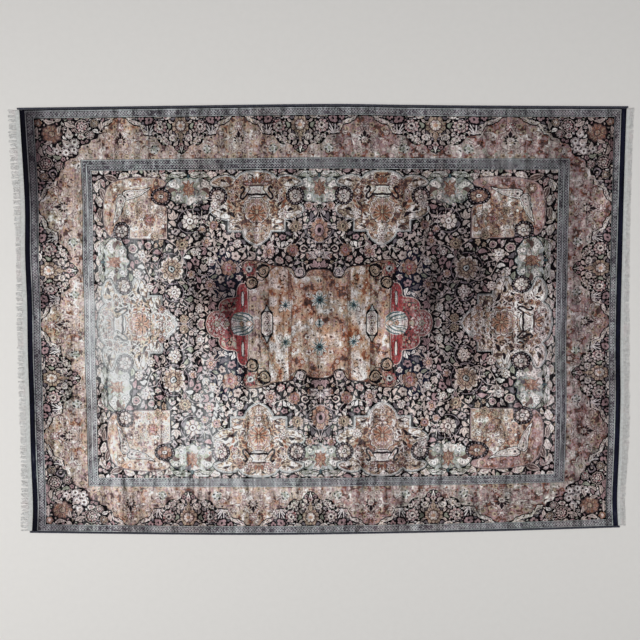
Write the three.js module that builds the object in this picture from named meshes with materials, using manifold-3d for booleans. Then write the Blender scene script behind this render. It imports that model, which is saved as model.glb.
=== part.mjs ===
// A kashmir silk rug lying flat: a knotted pile body, an overcast selvedge along each long side,
// and a flat-woven web with knotted warp fringe at each end.
// Millimetres, +Z up, +X along the rug's length, the underside at Z = 0.
import * as THREE from 'three';
import { mergeVertices } from 'three/addons/utils/BufferGeometryUtils.js';
import Module from 'manifold-3d';

// Driving sizes
const pileLength = 2400;
const rugWidth = 1706;
const pileHeight = 6;
const pileRim = { shoulder: 4.4, inset: 1.4 };
const seam = 0.3;

const selvedge = { width: 9, height: 6.6, overrun: 9, steps: 44 };

// toward: the end's direction along X, depth: how far the web reaches out from the pile,
// locks: strands in its fringe, lean: their slant at the tip, seed: of their unevenness
const webs = {
  left: { toward: -1, depth: 18, thickness: 1.8, locks: 150, lean: 1.4, seed: 1000 },
  right: { toward: 1, depth: 15, thickness: 1.8, locks: 150, lean: -1, seed: 3000 },
};
const lock = {
  root: { reach: -2.5, width: 3.0, height: 1.3, rise: 0.25 },
  knot: { reach: 2.2, width: 5.0, height: 3.2, rise: 0 },
  tip: { width: 6.4, height: 1.2, rise: 0 },
  crown: 0.62,
  lengthSpread: 3,
  leanSpread: 1.2,
};

// How far each edge stands out from the straight line between its two corners.
// at: place along the edge from the rug's middle, out: the step away from that line
const farEdge = [
  { at: -1200, out: 0 },
  { at: -640, out: 6 },
  { at: -10, out: 12 },
  { at: 310, out: 8 },
  { at: 625, out: 4 },
  { at: 1200, out: 0 },
];
const nearEdge = [
  { at: -1200, out: 0 },
  { at: -490, out: 15 },
  { at: -20, out: 18 },
  { at: 640, out: 12 },
  { at: 1200, out: 0 },
];
// The ends have one more column. locks: the length of the fringe locks there
const leftEnd = [
  { at: -853, out: 0, locks: 29 },
  { at: -732, out: -7, locks: 29 },
  { at: -529, out: -5, locks: 24 },
  { at: -327, out: -6, locks: 26 },
  { at: -124, out: -5, locks: 24 },
  { at: 78, out: -8, locks: 26 },
  { at: 281, out: -6, locks: 19 },
  { at: 483, out: -11, locks: 29 },
  { at: 767, out: -3, locks: 30 },
  { at: 853, out: 0, locks: 29 },
];
const rightEnd = [
  { at: -853, out: 0, locks: 20 },
  { at: -732, out: -7, locks: 21 },
  { at: -529, out: -3, locks: 26 },
  { at: -327, out: -1, locks: 25 },
  { at: -124, out: -6, locks: 25 },
  { at: 78, out: -7, locks: 21 },
  { at: 281, out: -6, locks: 17 },
  { at: 483, out: -5, locks: 16 },
  { at: 767, out: -2, locks: 17 },
  { at: 853, out: 0, locks: 17 },
];
const sideSteps = 40;
const endSteps = 24;

// Finishes
const finish = (color, roughness) =>
  new THREE.MeshStandardMaterial({ color, roughness, metalness: 0 });
const silkPile = finish(0x6b5f5d, 0.55);
const navyYarn = finish(0x1b1d2b, 0.7);
const creamWarp = finish(0xcfcdc4, 0.8);

// A column's value at a place along an edge, on a smooth curve through its rows
function alongEdge(rows, column) {
  const curve = new THREE.SplineCurve(rows.map((row) => new THREE.Vector2(row.at, row[column])));
  const points = curve.getPoints(90);
  return (at) => {
    const next = points.findIndex((point) => point.x >= at);
    if (next === 0) return points[0].y;
    if (next < 0) return points[points.length - 1].y;
    const [a, b] = [points[next - 1], points[next]];
    return THREE.MathUtils.mapLinear(at, a.x, b.x, a.y, b.y);
  };
}
const outAt = {
  far: alongEdge(farEdge, 'out'),
  near: alongEdge(nearEdge, 'out'),
  left: alongEdge(leftEnd, 'out'),
  right: alongEdge(rightEnd, 'out'),
};
const lockLengthAt = {
  left: alongEdge(leftEnd, 'locks'),
  right: alongEdge(rightEnd, 'locks'),
};

// A value from -1 to 1 that is the same for the same seed
function unevenness(seed) {
  return 2 * THREE.MathUtils.seededRandom(seed) - 1;
}

// A closed body through rings of points, each ring counter-clockwise for an eye that the rings move toward
function loft(rings, capFaces) {
  const count = rings[0].length;
  const positions = rings.flat().flatMap((point) => point.toArray());
  const index = [];
  for (let r = 0; r + 1 < rings.length; r += 1) {
    for (let i = 0; i < count; i += 1) {
      const j = (i + 1) % count;
      const [a, b] = [r * count + i, r * count + j];
      index.push(a, b, b + count, a, b + count, a + count);
    }
  }
  const last = (rings.length - 1) * count;
  for (const [a, b, c] of capFaces) {
    index.push(a, c, b);
    index.push(last + a, last + b, last + c);
  }
  const geometry = new THREE.BufferGeometry();
  geometry.setAttribute('position', new THREE.Float32BufferAttribute(positions, 3));
  geometry.setIndex(index);
  return geometry;
}

// Cap faces of a ring with no dents
function fan(count) {
  return Array.from({ length: count - 2 }, (_, i) => [0, i + 1, i + 2]);
}

// A flat piece standing on its outline, seen from above, through levels of height and inset
function slab(outline, levels) {
  const around = outline.length;
  const inward = outline.map((_, i) => {
    const before = outline[(i + around - 1) % around];
    const after = outline[(i + 1) % around];
    const along = after.clone().sub(before).normalize();
    return new THREE.Vector2(-along.y, along.x);
  });
  const rings = levels.map(({ z, inset }) =>
    outline.map((point, i) => {
      const moved = point.clone().addScaledVector(inward[i], inset);
      return new THREE.Vector3(moved.x, moved.y, z);
    }));
  return loft(rings, THREE.ShapeUtils.triangulateShape(outline, []));
}

// The half width of the pile between its selvedges
const pileHalfWidth = rugWidth / 2 - selvedge.width - seam;
const pileHalfLength = pileLength / 2;

function endX(side, y) {
  return webs[side].toward * (pileHalfLength + outAt[side](y));
}

function pileOutline() {
  const outline = [];
  const corner = {
    nearLeft: endX('left', -pileHalfWidth),
    nearRight: endX('right', -pileHalfWidth),
    farLeft: endX('left', pileHalfWidth),
    farRight: endX('right', pileHalfWidth),
  };
  for (let i = 0; i < sideSteps; i += 1) {
    const x = THREE.MathUtils.lerp(corner.nearLeft, corner.nearRight, i / sideSteps);
    outline.push(new THREE.Vector2(x, -pileHalfWidth - outAt.near(x)));
  }
  for (let i = 0; i < endSteps; i += 1) {
    const y = THREE.MathUtils.lerp(-pileHalfWidth, pileHalfWidth, i / endSteps);
    outline.push(new THREE.Vector2(endX('right', y), y));
  }
  for (let i = 0; i < sideSteps; i += 1) {
    const x = THREE.MathUtils.lerp(corner.farRight, corner.farLeft, i / sideSteps);
    outline.push(new THREE.Vector2(x, pileHalfWidth + outAt.far(x)));
  }
  for (let i = 0; i < endSteps; i += 1) {
    const y = THREE.MathUtils.lerp(pileHalfWidth, -pileHalfWidth, i / endSteps);
    outline.push(new THREE.Vector2(endX('left', y), y));
  }
  return outline;
}

function pileBody() {
  return slab(pileOutline(), [
    { z: 0, inset: 0 },
    { z: pileRim.shoulder, inset: 0 },
    { z: pileHeight, inset: pileRim.inset },
  ]);
}

// The overcast cord: an oval with a flat underside, swept along a long side
function selvedgeCord(side, toward) {
  const { width, height, overrun, steps } = selvedge;
  const section = [
    { across: -0.28, up: 0 },
    { across: 0.28, up: 0 },
    { across: 0.5, up: 0.32 },
    { across: 0.5, up: 0.64 },
    { across: 0.28, up: 1 },
    { across: -0.28, up: 1 },
    { across: -0.5, up: 0.64 },
    { across: -0.5, up: 0.32 },
  ];
  const reach = pileHalfLength + overrun;
  const rings = [];
  for (let i = 0; i <= steps; i += 1) {
    const x = THREE.MathUtils.lerp(-reach, reach, i / steps);
    const middle = toward * (rugWidth / 2 - width / 2 + outAt[side](x));
    rings.push(section.map(({ across, up }) =>
      new THREE.Vector3(x, middle + across * width, up * height)));
  }
  return loft(rings, fan(section.length));
}

// The flat-woven web beyond the pile's end
function webStrip(side) {
  const { toward, depth, thickness } = webs[side];
  const rim = (y, away) => new THREE.Vector2(endX(side, y) + toward * away, y);
  const outline = [];
  for (let i = 0; i <= endSteps; i += 1) {
    const y = THREE.MathUtils.lerp(-pileHalfWidth, pileHalfWidth, i / endSteps);
    outline.push(rim(y, seam + (toward > 0 ? depth : 0)));
  }
  for (let i = 0; i <= endSteps; i += 1) {
    const y = THREE.MathUtils.lerp(pileHalfWidth, -pileHalfWidth, i / endSteps);
    outline.push(rim(y, seam + (toward > 0 ? 0 : depth)));
  }
  return slab(outline, [{ z: 0, inset: 0 }, { z: thickness, inset: 0 }]);
}

// One lock of warp ends: its root inside the web, its knot, and its fanned tip, all flat underneath
function warpLock(side, number) {
  const { toward, depth, locks, lean, seed } = webs[side];
  const pitch = (2 * pileHalfWidth) / locks;
  const y = -pileHalfWidth + (number + 0.5) * pitch;
  const edge = endX(side, y) + toward * (seam + depth);
  const reach = lockLengthAt[side](y) + lock.lengthSpread * unevenness(seed + number);
  const drift = lean + lock.leanSpread * unevenness(seed + locks + number);
  const stations = [
    { ...lock.root, drift: 0 },
    { ...lock.knot, drift: 0 },
    { ...lock.tip, reach, drift },
  ];
  const rings = stations.map((station) => {
    const half = station.width / 2;
    const corners = [
      { across: -half, up: 0 },
      { across: half, up: 0 },
      { across: half * lock.crown, up: station.height },
      { across: -half * lock.crown, up: station.height },
    ];
    return corners.map(({ across, up }) => new THREE.Vector3(
      edge + toward * station.reach,
      y + station.drift + toward * across,
      station.rise + up,
    ));
  });
  return loft(rings, fan(4));
}

const wasm = await Module();
wasm.setup();

function toSolid(geometry) {
  const merged = mergeVertices(geometry);
  const mesh = new wasm.Mesh({
    numProp: 3,
    vertProperties: new Float32Array(merged.attributes.position.array),
    triVerts: new Uint32Array(merged.index.array),
  });
  return new wasm.Manifold(mesh);
}

function fromSolid(solid) {
  const { vertProperties, triVerts } = solid.getMesh();
  const geometry = new THREE.BufferGeometry();
  geometry.setAttribute('position', new THREE.BufferAttribute(new Float32Array(vertProperties), 3));
  geometry.setIndex(new THREE.BufferAttribute(new Uint32Array(triVerts), 1));
  return geometry;
}

function fringedWeb(side) {
  let joined = toSolid(webStrip(side));
  for (let number = 0; number < webs[side].locks; number += 1) {
    joined = joined.add(toSolid(warpLock(side, number)));
  }
  return fromSolid(joined);
}

// The rug, with its middle at X = Y = 0
const rug = new THREE.Group();

function addPiece(name, geometry, material) {
  const shown = geometry.toNonIndexed();
  shown.computeVertexNormals();
  const piece = new THREE.Mesh(shown, material);
  piece.name = name;
  rug.add(piece);
}

addPiece('pile_body', pileBody(), silkPile);
addPiece('selvedge_far', selvedgeCord('far', 1), navyYarn);
addPiece('selvedge_near', selvedgeCord('near', -1), navyYarn);
addPiece('fringed_web_left', fringedWeb('left'), creamWarp);
addPiece('fringed_web_right', fringedWeb('right'), creamWarp);

const middle = new THREE.Box3().setFromObject(rug).getCenter(new THREE.Vector3());
rug.position.set(-middle.x, -middle.y, 0);

const group = new THREE.Group();
group.add(rug);

export default group;
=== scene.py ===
import math
import random

import bpy
import bmesh
import numpy as np
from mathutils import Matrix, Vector


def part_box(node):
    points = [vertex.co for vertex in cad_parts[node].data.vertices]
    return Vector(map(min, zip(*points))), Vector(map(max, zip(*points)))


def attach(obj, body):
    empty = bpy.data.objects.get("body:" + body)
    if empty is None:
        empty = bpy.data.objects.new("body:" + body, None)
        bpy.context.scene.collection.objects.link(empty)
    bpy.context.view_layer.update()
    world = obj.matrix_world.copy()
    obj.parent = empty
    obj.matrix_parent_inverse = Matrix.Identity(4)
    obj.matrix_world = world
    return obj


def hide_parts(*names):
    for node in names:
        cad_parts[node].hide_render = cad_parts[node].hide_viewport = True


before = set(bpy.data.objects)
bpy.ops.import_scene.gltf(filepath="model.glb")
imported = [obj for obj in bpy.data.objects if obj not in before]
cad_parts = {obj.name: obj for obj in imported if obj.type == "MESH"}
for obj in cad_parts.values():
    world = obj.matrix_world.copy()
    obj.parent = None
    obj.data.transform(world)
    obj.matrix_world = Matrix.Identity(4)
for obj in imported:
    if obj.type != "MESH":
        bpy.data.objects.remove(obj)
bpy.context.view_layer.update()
print("frame loaded")

mm = .001

# the rug's outline, the same tables as the construction model, in millimetres
rugSize = dict(pileLength=2400, rugWidth=1706, pileHeight=6, shoulder=4.4, rimInset=1.4, seam=.3,
               selvedgeWidth=9, selvedgeHeight=6.6, selvedgeOverrun=9)
# each side: place along it and step outwards; each end has the length of its fringe too
farEdge = ((-1200, 0), (-640, 6), (-10, 12), (310, 8), (625, 4), (1200, 0))
nearEdge = ((-1200, 0), (-490, 15), (-20, 18), (640, 12), (1200, 0))
leftEnd = ((-853, 0, 29), (-732, -7, 29), (-529, -5, 24), (-327, -6, 26), (-124, -5, 24),
           (78, -8, 26), (281, -6, 19), (483, -11, 29), (767, -3, 30), (853, 0, 29))
rightEnd = ((-853, 0, 20), (-732, -7, 21), (-529, -3, 26), (-327, -1, 25), (-124, -6, 25),
            (78, -7, 21), (281, -6, 17), (483, -5, 16), (767, -2, 17), (853, 0, 17))
curvePoints = 91


def alongEdge(rows, column):  # a column of a table, on a smooth curve through its rows
    table = np.array([(row[0], row[column]) for row in rows], float)
    last = len(rows) - 1
    points = []
    for t in np.linspace(0, last, curvePoints):
        i = min(int(t), last)
        w = t - i
        before, here, after, beyond = (table[min(max(i + k, 0), last)] for k in (-1, 0, 1, 2))
        into, outof = (after - before) / 2, (beyond - here) / 2
        points.append((2 * here - 2 * after + into + outof) * w ** 3
                      + (3 * after - 3 * here - 2 * into - outof) * w ** 2 + into * w + here)
    points = np.array(points)
    return lambda at: np.interp(at, points[:, 0], points[:, 1])


outAt = dict(far=alongEdge(farEdge, 1), near=alongEdge(nearEdge, 1),
             left=alongEdge(leftEnd, 1), right=alongEdge(rightEnd, 1))
lockLengthAt = dict(left=alongEdge(leftEnd, 2), right=alongEdge(rightEnd, 2))
pileHalfWidth = rugSize["rugWidth"] / 2 - rugSize["selvedgeWidth"] - rugSize["seam"]
toward = dict(left=-1, right=1)


def endX(side, y):
    return toward[side] * (rugSize["pileLength"] / 2 + outAt[side](y))


def onPile(across, up):  # a place on the pile from two shares, 0 to 1, of its length and width
    y = (2 * up - 1) * pileHalfWidth
    x = endX("left", y) * (1 - across) + endX("right", y) * across
    return x, -(pileHalfWidth + outAt["near"](x)) * (1 - up) + (pileHalfWidth + outAt["far"](x)) * up


edgeRun = np.linspace(0, 1, 400)
rimX = np.concatenate([onPile(side, edgeRun)[0] for side in (0, 1)])
rimY = np.concatenate([onPile(edgeRun, side)[1] for side in (0, 1)])
pileLow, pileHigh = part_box("pile_body")
# the construction model is centred on its box: how far that moved it, in metres
shiftX = (pileLow[0] + pileHigh[0]) / 2 - (rimX.min() + rimX.max()) / 2 * mm
shiftY = (pileLow[1] + pileHigh[1]) / 2 - (rimY.min() + rimY.max()) / 2 * mm
print("outline placed, shift in mm", round(shiftX / mm, 2), round(shiftY / mm, 2))


def placed(x, y, z):  # millimetres of the outline to metres of the frame
    return np.stack(np.broadcast_arrays(x * mm + shiftX, y * mm + shiftY, z * mm), -1)


# the knotted design: palette and painting tools, all lengths in millimetres
knot = 1.4
stray = 4.6  # the width in which a motif's edge wanders, for no motif is tied quite true
yarns = {
    "night": "#110c10", "ink": "#261d21", "ivory": "#e6e1dc", "shell": "#c6b7b0",
    "sand": "#b0a08a", "rose": "#a18688", "rust": "#8a5843", "crimson": "#934044",
    "sage": "#989b8c", "ice": "#b0b4b3", "teal": "#4a6065", "slate": "#6c656b",
    "lilac": "#958a90", "umber": "#5b4744", "navy": "#171829", "peach": "#b8957f",
}
# yarns in soft patches, as dyed silk and short rows give: patch width, height, its yarns from dark to light
blends = {
    "panel": (28, 32, "umber rust peach rose peach sand peach sand shell sand shell ivory"),
    "pillow": (26, 36, "rust peach sand peach sand shell shell ivory shell ivory"),
    "shoulder": (22, 30, "umber rust umber sand rose sage sand peach shell"),
    "vase": (22, 26, "umber rust sand peach sand sand shell sand shell ivory ivory"),
    "paleVase": (22, 24, "sand sand peach shell ivory ivory ice ivory sage ivory ivory"),
    "cloudy": (22, 22, "slate sage sage ice ice shell ivory"),
    "corner": (24, 28, "umber rust peach sand peach rose sand shell sand shell ivory"),
    "blush": (22, 26, "umber rust rose rose rose peach rose shell"),
    "border": (26, 30, "umber rust rose rose sand lilac shell sage shell shell ivory"),
    "beige": (24, 28, "umber rose sand peach shell sand rose shell shell sand shell ivory"),
    "rosy": (16, 18, "umber rust rose rose peach sand shell"),
    "ripe": (20, 22, "umber sand peach shell ivory ivory shell ivory ivory"),
    "lobe": (14, 12, "umber sand sand shell ivory ivory ivory"),
    "crimsons": (9, 10, "ink umber crimson crimson crimson crimson rust rose rose peach sage"),
    "creamy": (6, 7, "rose shell ivory ivory shell ivory sand"),
    "warm": (6, 7, "rust peach umber rose rust sand"),
    "golden": (6, 7, "sand umber sand shell rust sand"),
    "pinkish": (6, 7, "shell rose ivory rose crimson shell"),
    "icy": (9, 11, "sage ice ivory ice ivory"),
    "frosty": (16, 16, "slate ice lilac ice lilac ice"),
    "cool": (6, 7, "lilac ivory rose shell slate shell"),
}
yarnNo = {name: number for number, name in enumerate([*yarns, *blends])}
# a quarter of the field, one unit of the border as deep as its band, one corner
chartSize = dict(fieldLong=932, fieldWide=615, unit=250, band=165, corner=254)


class KnotChart:
    def __init__(self, left, right, low, high, ground="night"):
        self.left, self.low = left, low
        self.cols, self.rows = round((right - left) / knot), round((high - low) / knot)
        self.ink = np.full((self.rows, self.cols), yarnNo.get(ground, -1), np.int8)
        self.x = (left + (np.arange(self.cols) + .5) * knot)[None, :]
        self.y = (low + (np.arange(self.rows) + .5) * knot)[:, None]
        self.drift = [(self.cloud(9, 9, seed, 1) - .5) * stray for seed in (1, 2)]

    def around(self, x, y, reach):  # the knots near a point, and how far each lies from it
        col, row = (x - self.left) / knot, (y - self.low) / knot
        wide = reach / knot + 1
        c0, c1 = max(0, int(col - wide)), max(0, min(self.cols, int(col + wide) + 1))
        r0, r1 = max(0, int(row - wide)), max(0, min(self.rows, int(row + wide) + 1))
        return (slice(r0, r1), slice(c0, c1)), self.x[:, c0:c1] - x, self.y[r0:r1] - y

    def motif(self, x, y, size, turn, mirror, shape, look):
        place, across, up = self.around(x, y, size * 1.15)
        c, s = math.cos(math.radians(turn)), math.sin(math.radians(turn))
        across, up = across + self.drift[0][place], up + self.drift[1][place]
        u, v = across * c + up * s, up * c - across * s
        return place, shape(u, -v if mirror else v, size, **look)

    def stamp(self, shape, x, y, size, turn=0, mirror=False, **look):
        place, inked = self.motif(x, y, size, turn, mirror, shape, look)
        np.copyto(self.ink[place], inked, where=inked >= 0)

    def stampAll(self, shape, rows, **look):  # rows: x, y, size, and a turn if there is one
        for row in rows:
            self.stamp(shape, *row, **look)

    def bloom(self, x, y, size, petals, *coats, **look):
        self.stamp(rosette, x, y, size, petals=petals, coats=coats, **look)

    def blooms(self, rows, petals, *coats, **look):
        self.stampAll(rosette, rows, petals=petals, coats=coats, **look)

    def sow(self, free, rng, *plan):  # motifs strewn where they find room: kinds, sizes, tries, gap in knots
        for kinds, sizes, tries, gap in plan:
            spots = np.argwhere(free)
            for size in sizes if len(spots) else ():
                for _ in range(tries):
                    row, col = spots[rng.randrange(len(spots))]
                    turn, (shape, look) = rng.uniform(0, 360), rng.choice(kinds)
                    if free[row, col]:
                        place, inked = self.motif(self.x[0, col], self.y[row, 0], size, turn, False, shape,
                                                  look)
                        foot = grow(inked >= 0, gap)
                        if (free[place] | ~foot).all():
                            np.copyto(self.ink[place], inked, where=inked >= 0)
                            free[place] &= ~foot

    def stroke(self, points, width, colour, over=None):  # a line through points
        for (x0, y0), (x1, y1) in zip(points, points[1:]):
            long = math.hypot(x1 - x0, y1 - y0) or 1e-6
            place, across, up = self.around((x0 + x1) / 2, (y0 + y1) / 2, long / 2 + width)
            along = (across * (x1 - x0) + up * (y1 - y0)) / long
            off = (up * (x1 - x0) - across * (y1 - y0)) / long
            near = np.hypot(np.maximum(abs(along) - long / 2, 0), off) < width / 2
            part = self.ink[place]
            part[near & (part == yarnNo[over]) if over else near] = yarnNo[colour]

    def dye(self, mask, *colours, grain=(14, 14), seed=1):  # one colour, or patches of several
        mask = np.broadcast_to(mask, self.ink.shape)
        if len(colours) > 1:
            cloud = self.cloud(*grain, seed)
            steps = np.quantile(cloud[mask], np.linspace(0, 1, len(colours) + 1)[1:-1])
            numbers = np.array([yarnNo[colour] for colour in colours], np.int8)
            self.ink[mask] = numbers[np.searchsorted(steps, cloud[mask])]
        else:
            self.ink[mask] = yarnNo[colours[0]]

    def cloud(self, wide, high, seed, layers=3):  # soft random hills
        rng, total = np.random.default_rng(seed), 0
        for layer in range(layers):
            values = rng.random((int(self.rows * knot / high) + 3, int(self.cols * knot / wide) + 3))
            c, r = (self.x[0] - self.left) / wide, (self.y[:, 0] - self.low) / high
            (ci, cf), (ri, rf) = ((a.astype(int), (a % 1) ** 2 * (3 - 2 * (a % 1))) for a in (c, r))
            lower, upper = (values[np.ix_(ri + k, ci)] * (1 - cf) + values[np.ix_(ri + k, ci + 1)] * cf
                            for k in (0, 1))
            total = total + (lower * (1 - rf[:, None]) + upper * rf[:, None]) * .6 ** layer
            wide, high = max(wide * .45, 1.5), max(high * .4, 1.5)
        return total

    def within(self, outline):  # the knots inside a closed outline
        inside = np.zeros(self.ink.shape, bool)
        for (x0, y0), (x1, y1) in zip(outline, outline[1:] + outline[:1]):
            if y0 != y1:
                spans = (self.y > min(y0, y1)) & (self.y <= max(y0, y1))
                inside ^= spans & (self.x > x0 + (self.y - y0) * (x1 - x0) / (y1 - y0))
        return inside

    def disc(self, x, y, radius):
        return np.hypot(self.x - x, self.y - y) < radius

    def plate(self, outline, *coats):  # a filled outline inside rings: how far out each goes, its colours
        mask = self.within(outline)
        for out, *colours in coats:
            knots = round(abs(out) / knot)
            self.dye(grow(mask, knots) if out > 0 else shrink(mask, knots), *colours)
        return mask


def grow(mask, knots):  # the mask made wider all round
    for step in range(knots):
        wide = mask.copy()
        wide[1:] |= mask[:-1]
        wide[:-1] |= mask[1:]
        if step % 2:
            mask = wide.copy()
        wide[:, 1:] |= mask[:, :-1]
        wide[:, :-1] |= mask[:, 1:]
        mask = wide
    return mask


def shrink(mask, knots):
    return ~grow(~mask, knots)


def rounded(points, rounds=2):  # corners cut off, again and again
    for _ in range(rounds):
        pairs = list(zip(points, points[1:] + points[:1]))
        points = [(x0 * a + x1 * (1 - a), y0 * a + y1 * (1 - a)) for (x0, y0), (x1, y1) in pairs
                  for a in (.75, .25)]
    return points


def arc(x, y, r0, r1, a0, a1, steps=14):  # points of a spiral or a round line
    shares = [i / steps for i in range(steps + 1)]
    return [(x + (r0 + (r1 - r0) * t) * math.cos(math.radians(a0 + (a1 - a0) * t)),
             y + (r0 + (r1 - r0) * t) * math.sin(math.radians(a0 + (a1 - a0) * t))) for t in shares]


def bare(u, v):
    return np.full(np.broadcast(u, v).shape, -1, np.int8)


def rosette(u, v, size, petals=8, coats=(), veins=None, flat=1, veinWide=.28, veinFrom=.36, veinTo=.84):
    inked = bare(u, v)  # each coat: its share of the size, how deep its petals are parted, its colour
    far, turn = np.hypot(u, v / flat), np.arctan2(v, u)
    wave = abs(np.cos(petals * turn / 2))
    for share, depth, colour in coats:
        inked[far < size * share * (1 - depth * (1 - wave))] = yarnNo[colour]
    if veins:
        inked[(wave < veinWide) & (far > size * veinFrom) & (far < size * veinTo)] = yarnNo[veins]
    return inked


def leaf(u, v, size, width=.3, bend=0, coats=("ink", "shell"), rim=2.2, vein=None, back=0):
    inked = bare(u, v)  # grows from its stalk along u; back: the share of it behind zero
    u = u + back * size
    t = np.clip(u / size, 0, 1)
    off = abs(v - bend * size * np.sin(np.pi * t))
    for layer, colour in enumerate(coats):
        edge = layer * rim
        inked[(u > edge) & (u < size - edge) & (off < width * size * np.sin(np.pi * t ** .8)
                                                - edge)] = yarnNo[colour]
    if vein:
        inked[(off < .8) & (t > .15) & (t < .75) & (inked >= 0)] = yarnNo[vein]
    return inked


def scroll(u, v, size, turns=1.6, fill="ivory", line="ink", thick=2.6):
    inked = bare(u, v)
    far, turn = np.hypot(u, v), np.arctan2(v, u)
    pitch = size / turns
    inked[far < size] = yarnNo[fill]
    wound = (far - pitch * turn / (2 * np.pi)) % pitch
    inked[(far < size) & ((wound < thick) | (far > size - thick))] = yarnNo[line]
    return inked


def curl(u, v, size, coats=("shell",), thick=.17):  # a hooked tendril with a bud in its end
    inked = bare(u, v)
    far, turn = np.hypot(u, v), np.arctan2(v, u) % (2 * np.pi)
    path = size * (.45 + .5 * turn / (2 * np.pi))
    inked[(abs(far - path) < size * thick * (.35 + .65 * np.sin(turn / 2))) & (turn > .5)] = yarnNo[coats[0]]
    inked[far < size * .24] = yarnNo[coats[-1]]
    return inked


def boteh(u, v, size, coats=("ink", "sage", "ink", "ivory"), insets=(0, .1, .42, .52), broad=.3):
    inked = bare(u, v)  # a paisley: round end at zero, its tip along u and bent up
    t = np.clip(u / size, -.3, 1)
    for inset, colour in zip(insets, coats):
        wide = broad * size * (1 - inset)
        half = np.where(t < 0, np.sqrt(np.clip(wide ** 2 - u ** 2, 0, None)),
                        wide * np.clip(1 - t / (1 - .7 * inset), 0, 1) ** .75)
        inked[abs(v - broad * size * np.clip(t, 0, 1) ** 2.2) < half] = yarnNo[colour]
    return inked


def star(u, v, size, arms=8, colours=("teal", "ivory"), thin=.17):
    inked = bare(u, v)
    far, turn = np.hypot(u, v), np.arctan2(v, u)
    off = far * abs(np.sin(arms * turn / 2)) / (arms / 2)
    inked[(off < size * thin * (1.05 - far / size)) & (far < size)] = yarnNo[colours[0]]
    inked[far < size * .18] = yarnNo[colours[1]]
    return inked


def sprig(u, v, size, colour="shell", leaves=3, spread=.75, width=.24, heart="umber"):
    # leaves from one foot
    inked = bare(u, v)
    for number in range(leaves):
        turn = (number - (leaves - 1) / 2) * spread
        c, s = math.cos(turn), math.sin(turn)
        part = leaf(u * c + v * s, v * c - u * s, size * (1 - .25 * abs(turn)), width, .1 * turn, (colour,),
                    0, heart)
        np.copyto(inked, part, where=part >= 0)
    return inked


def floret(petals, *coats, depth=.34, flat=1.0):
    return rosette, dict(petals=petals, flat=flat, coats=[(share, depth if share > .5 else .05, colour)
                                                          for share, colour in coats])


def leaflet(colour, width=.2, bend=.12, vein="ink", coats=None, rim=1.6):
    return leaf, dict(coats=coats or (colour,), rim=rim, width=width, bend=bend, vein=vein, back=.5)


# what is strewn over the dark ground and over the pale grounds
nightFlowers = [floret(6, (1, "creamy"), (.56, "umber"), (.44, "rose"), depth=.3, flat=.78),
                floret(7, (1, "pinkish"), (.5, "umber"), (.38, "shell"), depth=.26, flat=.74),
                floret(5, (1, "rose"), (.34, "ink"), depth=.34, flat=.8),
                floret(5, (1, "golden"), (.46, "umber"), (.3, "sand"), depth=.32, flat=.76),
                floret(4, (1, "cool"), (.3, "ink"), flat=.75),
                floret(5, (1, "warm"), (.4, "shell"), depth=.26), floret(5, (1, "shell"), (.3, "umber")),
                floret(8, (1, "shell"), (.74, "umber"), (.6, "rose"), (.24, "ink"), depth=.14),
                floret(3, (1, "shell"), depth=.5), floret(3, (1, "rose"), depth=.5),
                floret(4, (1, "lilac"), (.3, "umber"), flat=.8), floret(5, (1, "pinkish"), (.24, "umber")),
                floret(6, (1, "umber"), (.6, "shell"), (.24, "ink")),
                floret(5, (1, "rose"), (.5, "shell"), (.2, "umber"))]
nightLeaves = [leaflet(colour, bend=bend, width=.24, vein=vein)
               for bend, vein in ((.16, None), (-.16, "umber"))
               for colour in ("shell", "cool", "rose", "creamy", "ivory", "slate", "sage", "shell")]
nightSprigs = [(sprig, dict(colour=colour, leaves=leaves, spread=spread))
               for colour in ("shell", "cool", "rose", "creamy")
               for leaves, spread in ((3, .8), (2, 1.1), (3, .62))]
nightCurls = [(curl, dict(coats=coats)) for coats in (("lilac", "shell"), ("shell", "rose"),
                                                      ("cool", "ivory"), ("slate", "lilac"))]
paleFlowers = [floret(5, (1, "umber"), (.7, "shell")), floret(6, (1, "umber"), (.66, "ivory")),
               floret(5, (1, "rust"), (.6, "sand")), floret(5, (1, "ivory"), (.3, "umber")),
               floret(5, (1, "rose"), (.34, "umber")), floret(4, (1, "umber"), (.4, "rose"), flat=.7)]
paleLeaves = [leaflet(None, width=.26, bend=bend, coats=coats, vein=None, rim=1.4) for bend in (.14, -.14)
              for coats in (("umber", "sage"), ("umber", "shell"), ("ivory",), ("umber", "rose"),
                            ("ink", "umber"), ("sage",))]
darkTwigs = [leaflet(colour, bend=bend, width=.2, vein=None) for bend in (.16, -.16)
             for colour in ("umber", "ink", "rust", "umber")]
softFlowers = [floret(5, (1, "rose"), (.6, "shell")), floret(5, (1, "sand"), (.4, "umber")),
               floret(6, (1, "shell"), (.36, "rose")), floret(5, (1, "umber"), (.7, "sand")),
               floret(4, (1, "rose"), flat=.7), floret(5, (1, "shell"), (.34, "rose"))]
softLeaves = [leaflet(colour, bend=bend, width=.2, vein=None) for bend in (.14, -.14)
              for colour in ("sage", "rose", "umber", "shell", "rust")]
paleSpecks = [floret(4, (1, colour)) for colour in ("umber", "rust", "ivory", "ink", "umber")]
nightSpecks = [floret(4, (1, colour)) for colour in ("shell", "lilac", "rose", "sage", "umber")]


def fillNight(chart, rng, tries=1500):
    chart.sow(chart.ink == yarnNo["night"], rng, (nightFlowers[:8], (19, 15), tries // 7, 2),
              (nightSprigs, (38, 32), tries // 2, 1), (nightCurls, (22, 17), tries // 4, 1),
              (nightLeaves, (34, 27), tries, 1), (nightFlowers, (12, 10), tries // 2, 1),
              (nightLeaves, (26, 20), tries, 1), (nightSprigs, (20,), tries, 1),
              (nightFlowers, (8,), tries, 1), (nightLeaves, (15, 11), tries, 1),
              (nightSpecks, (3.4,), tries // 2, 1))


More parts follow.
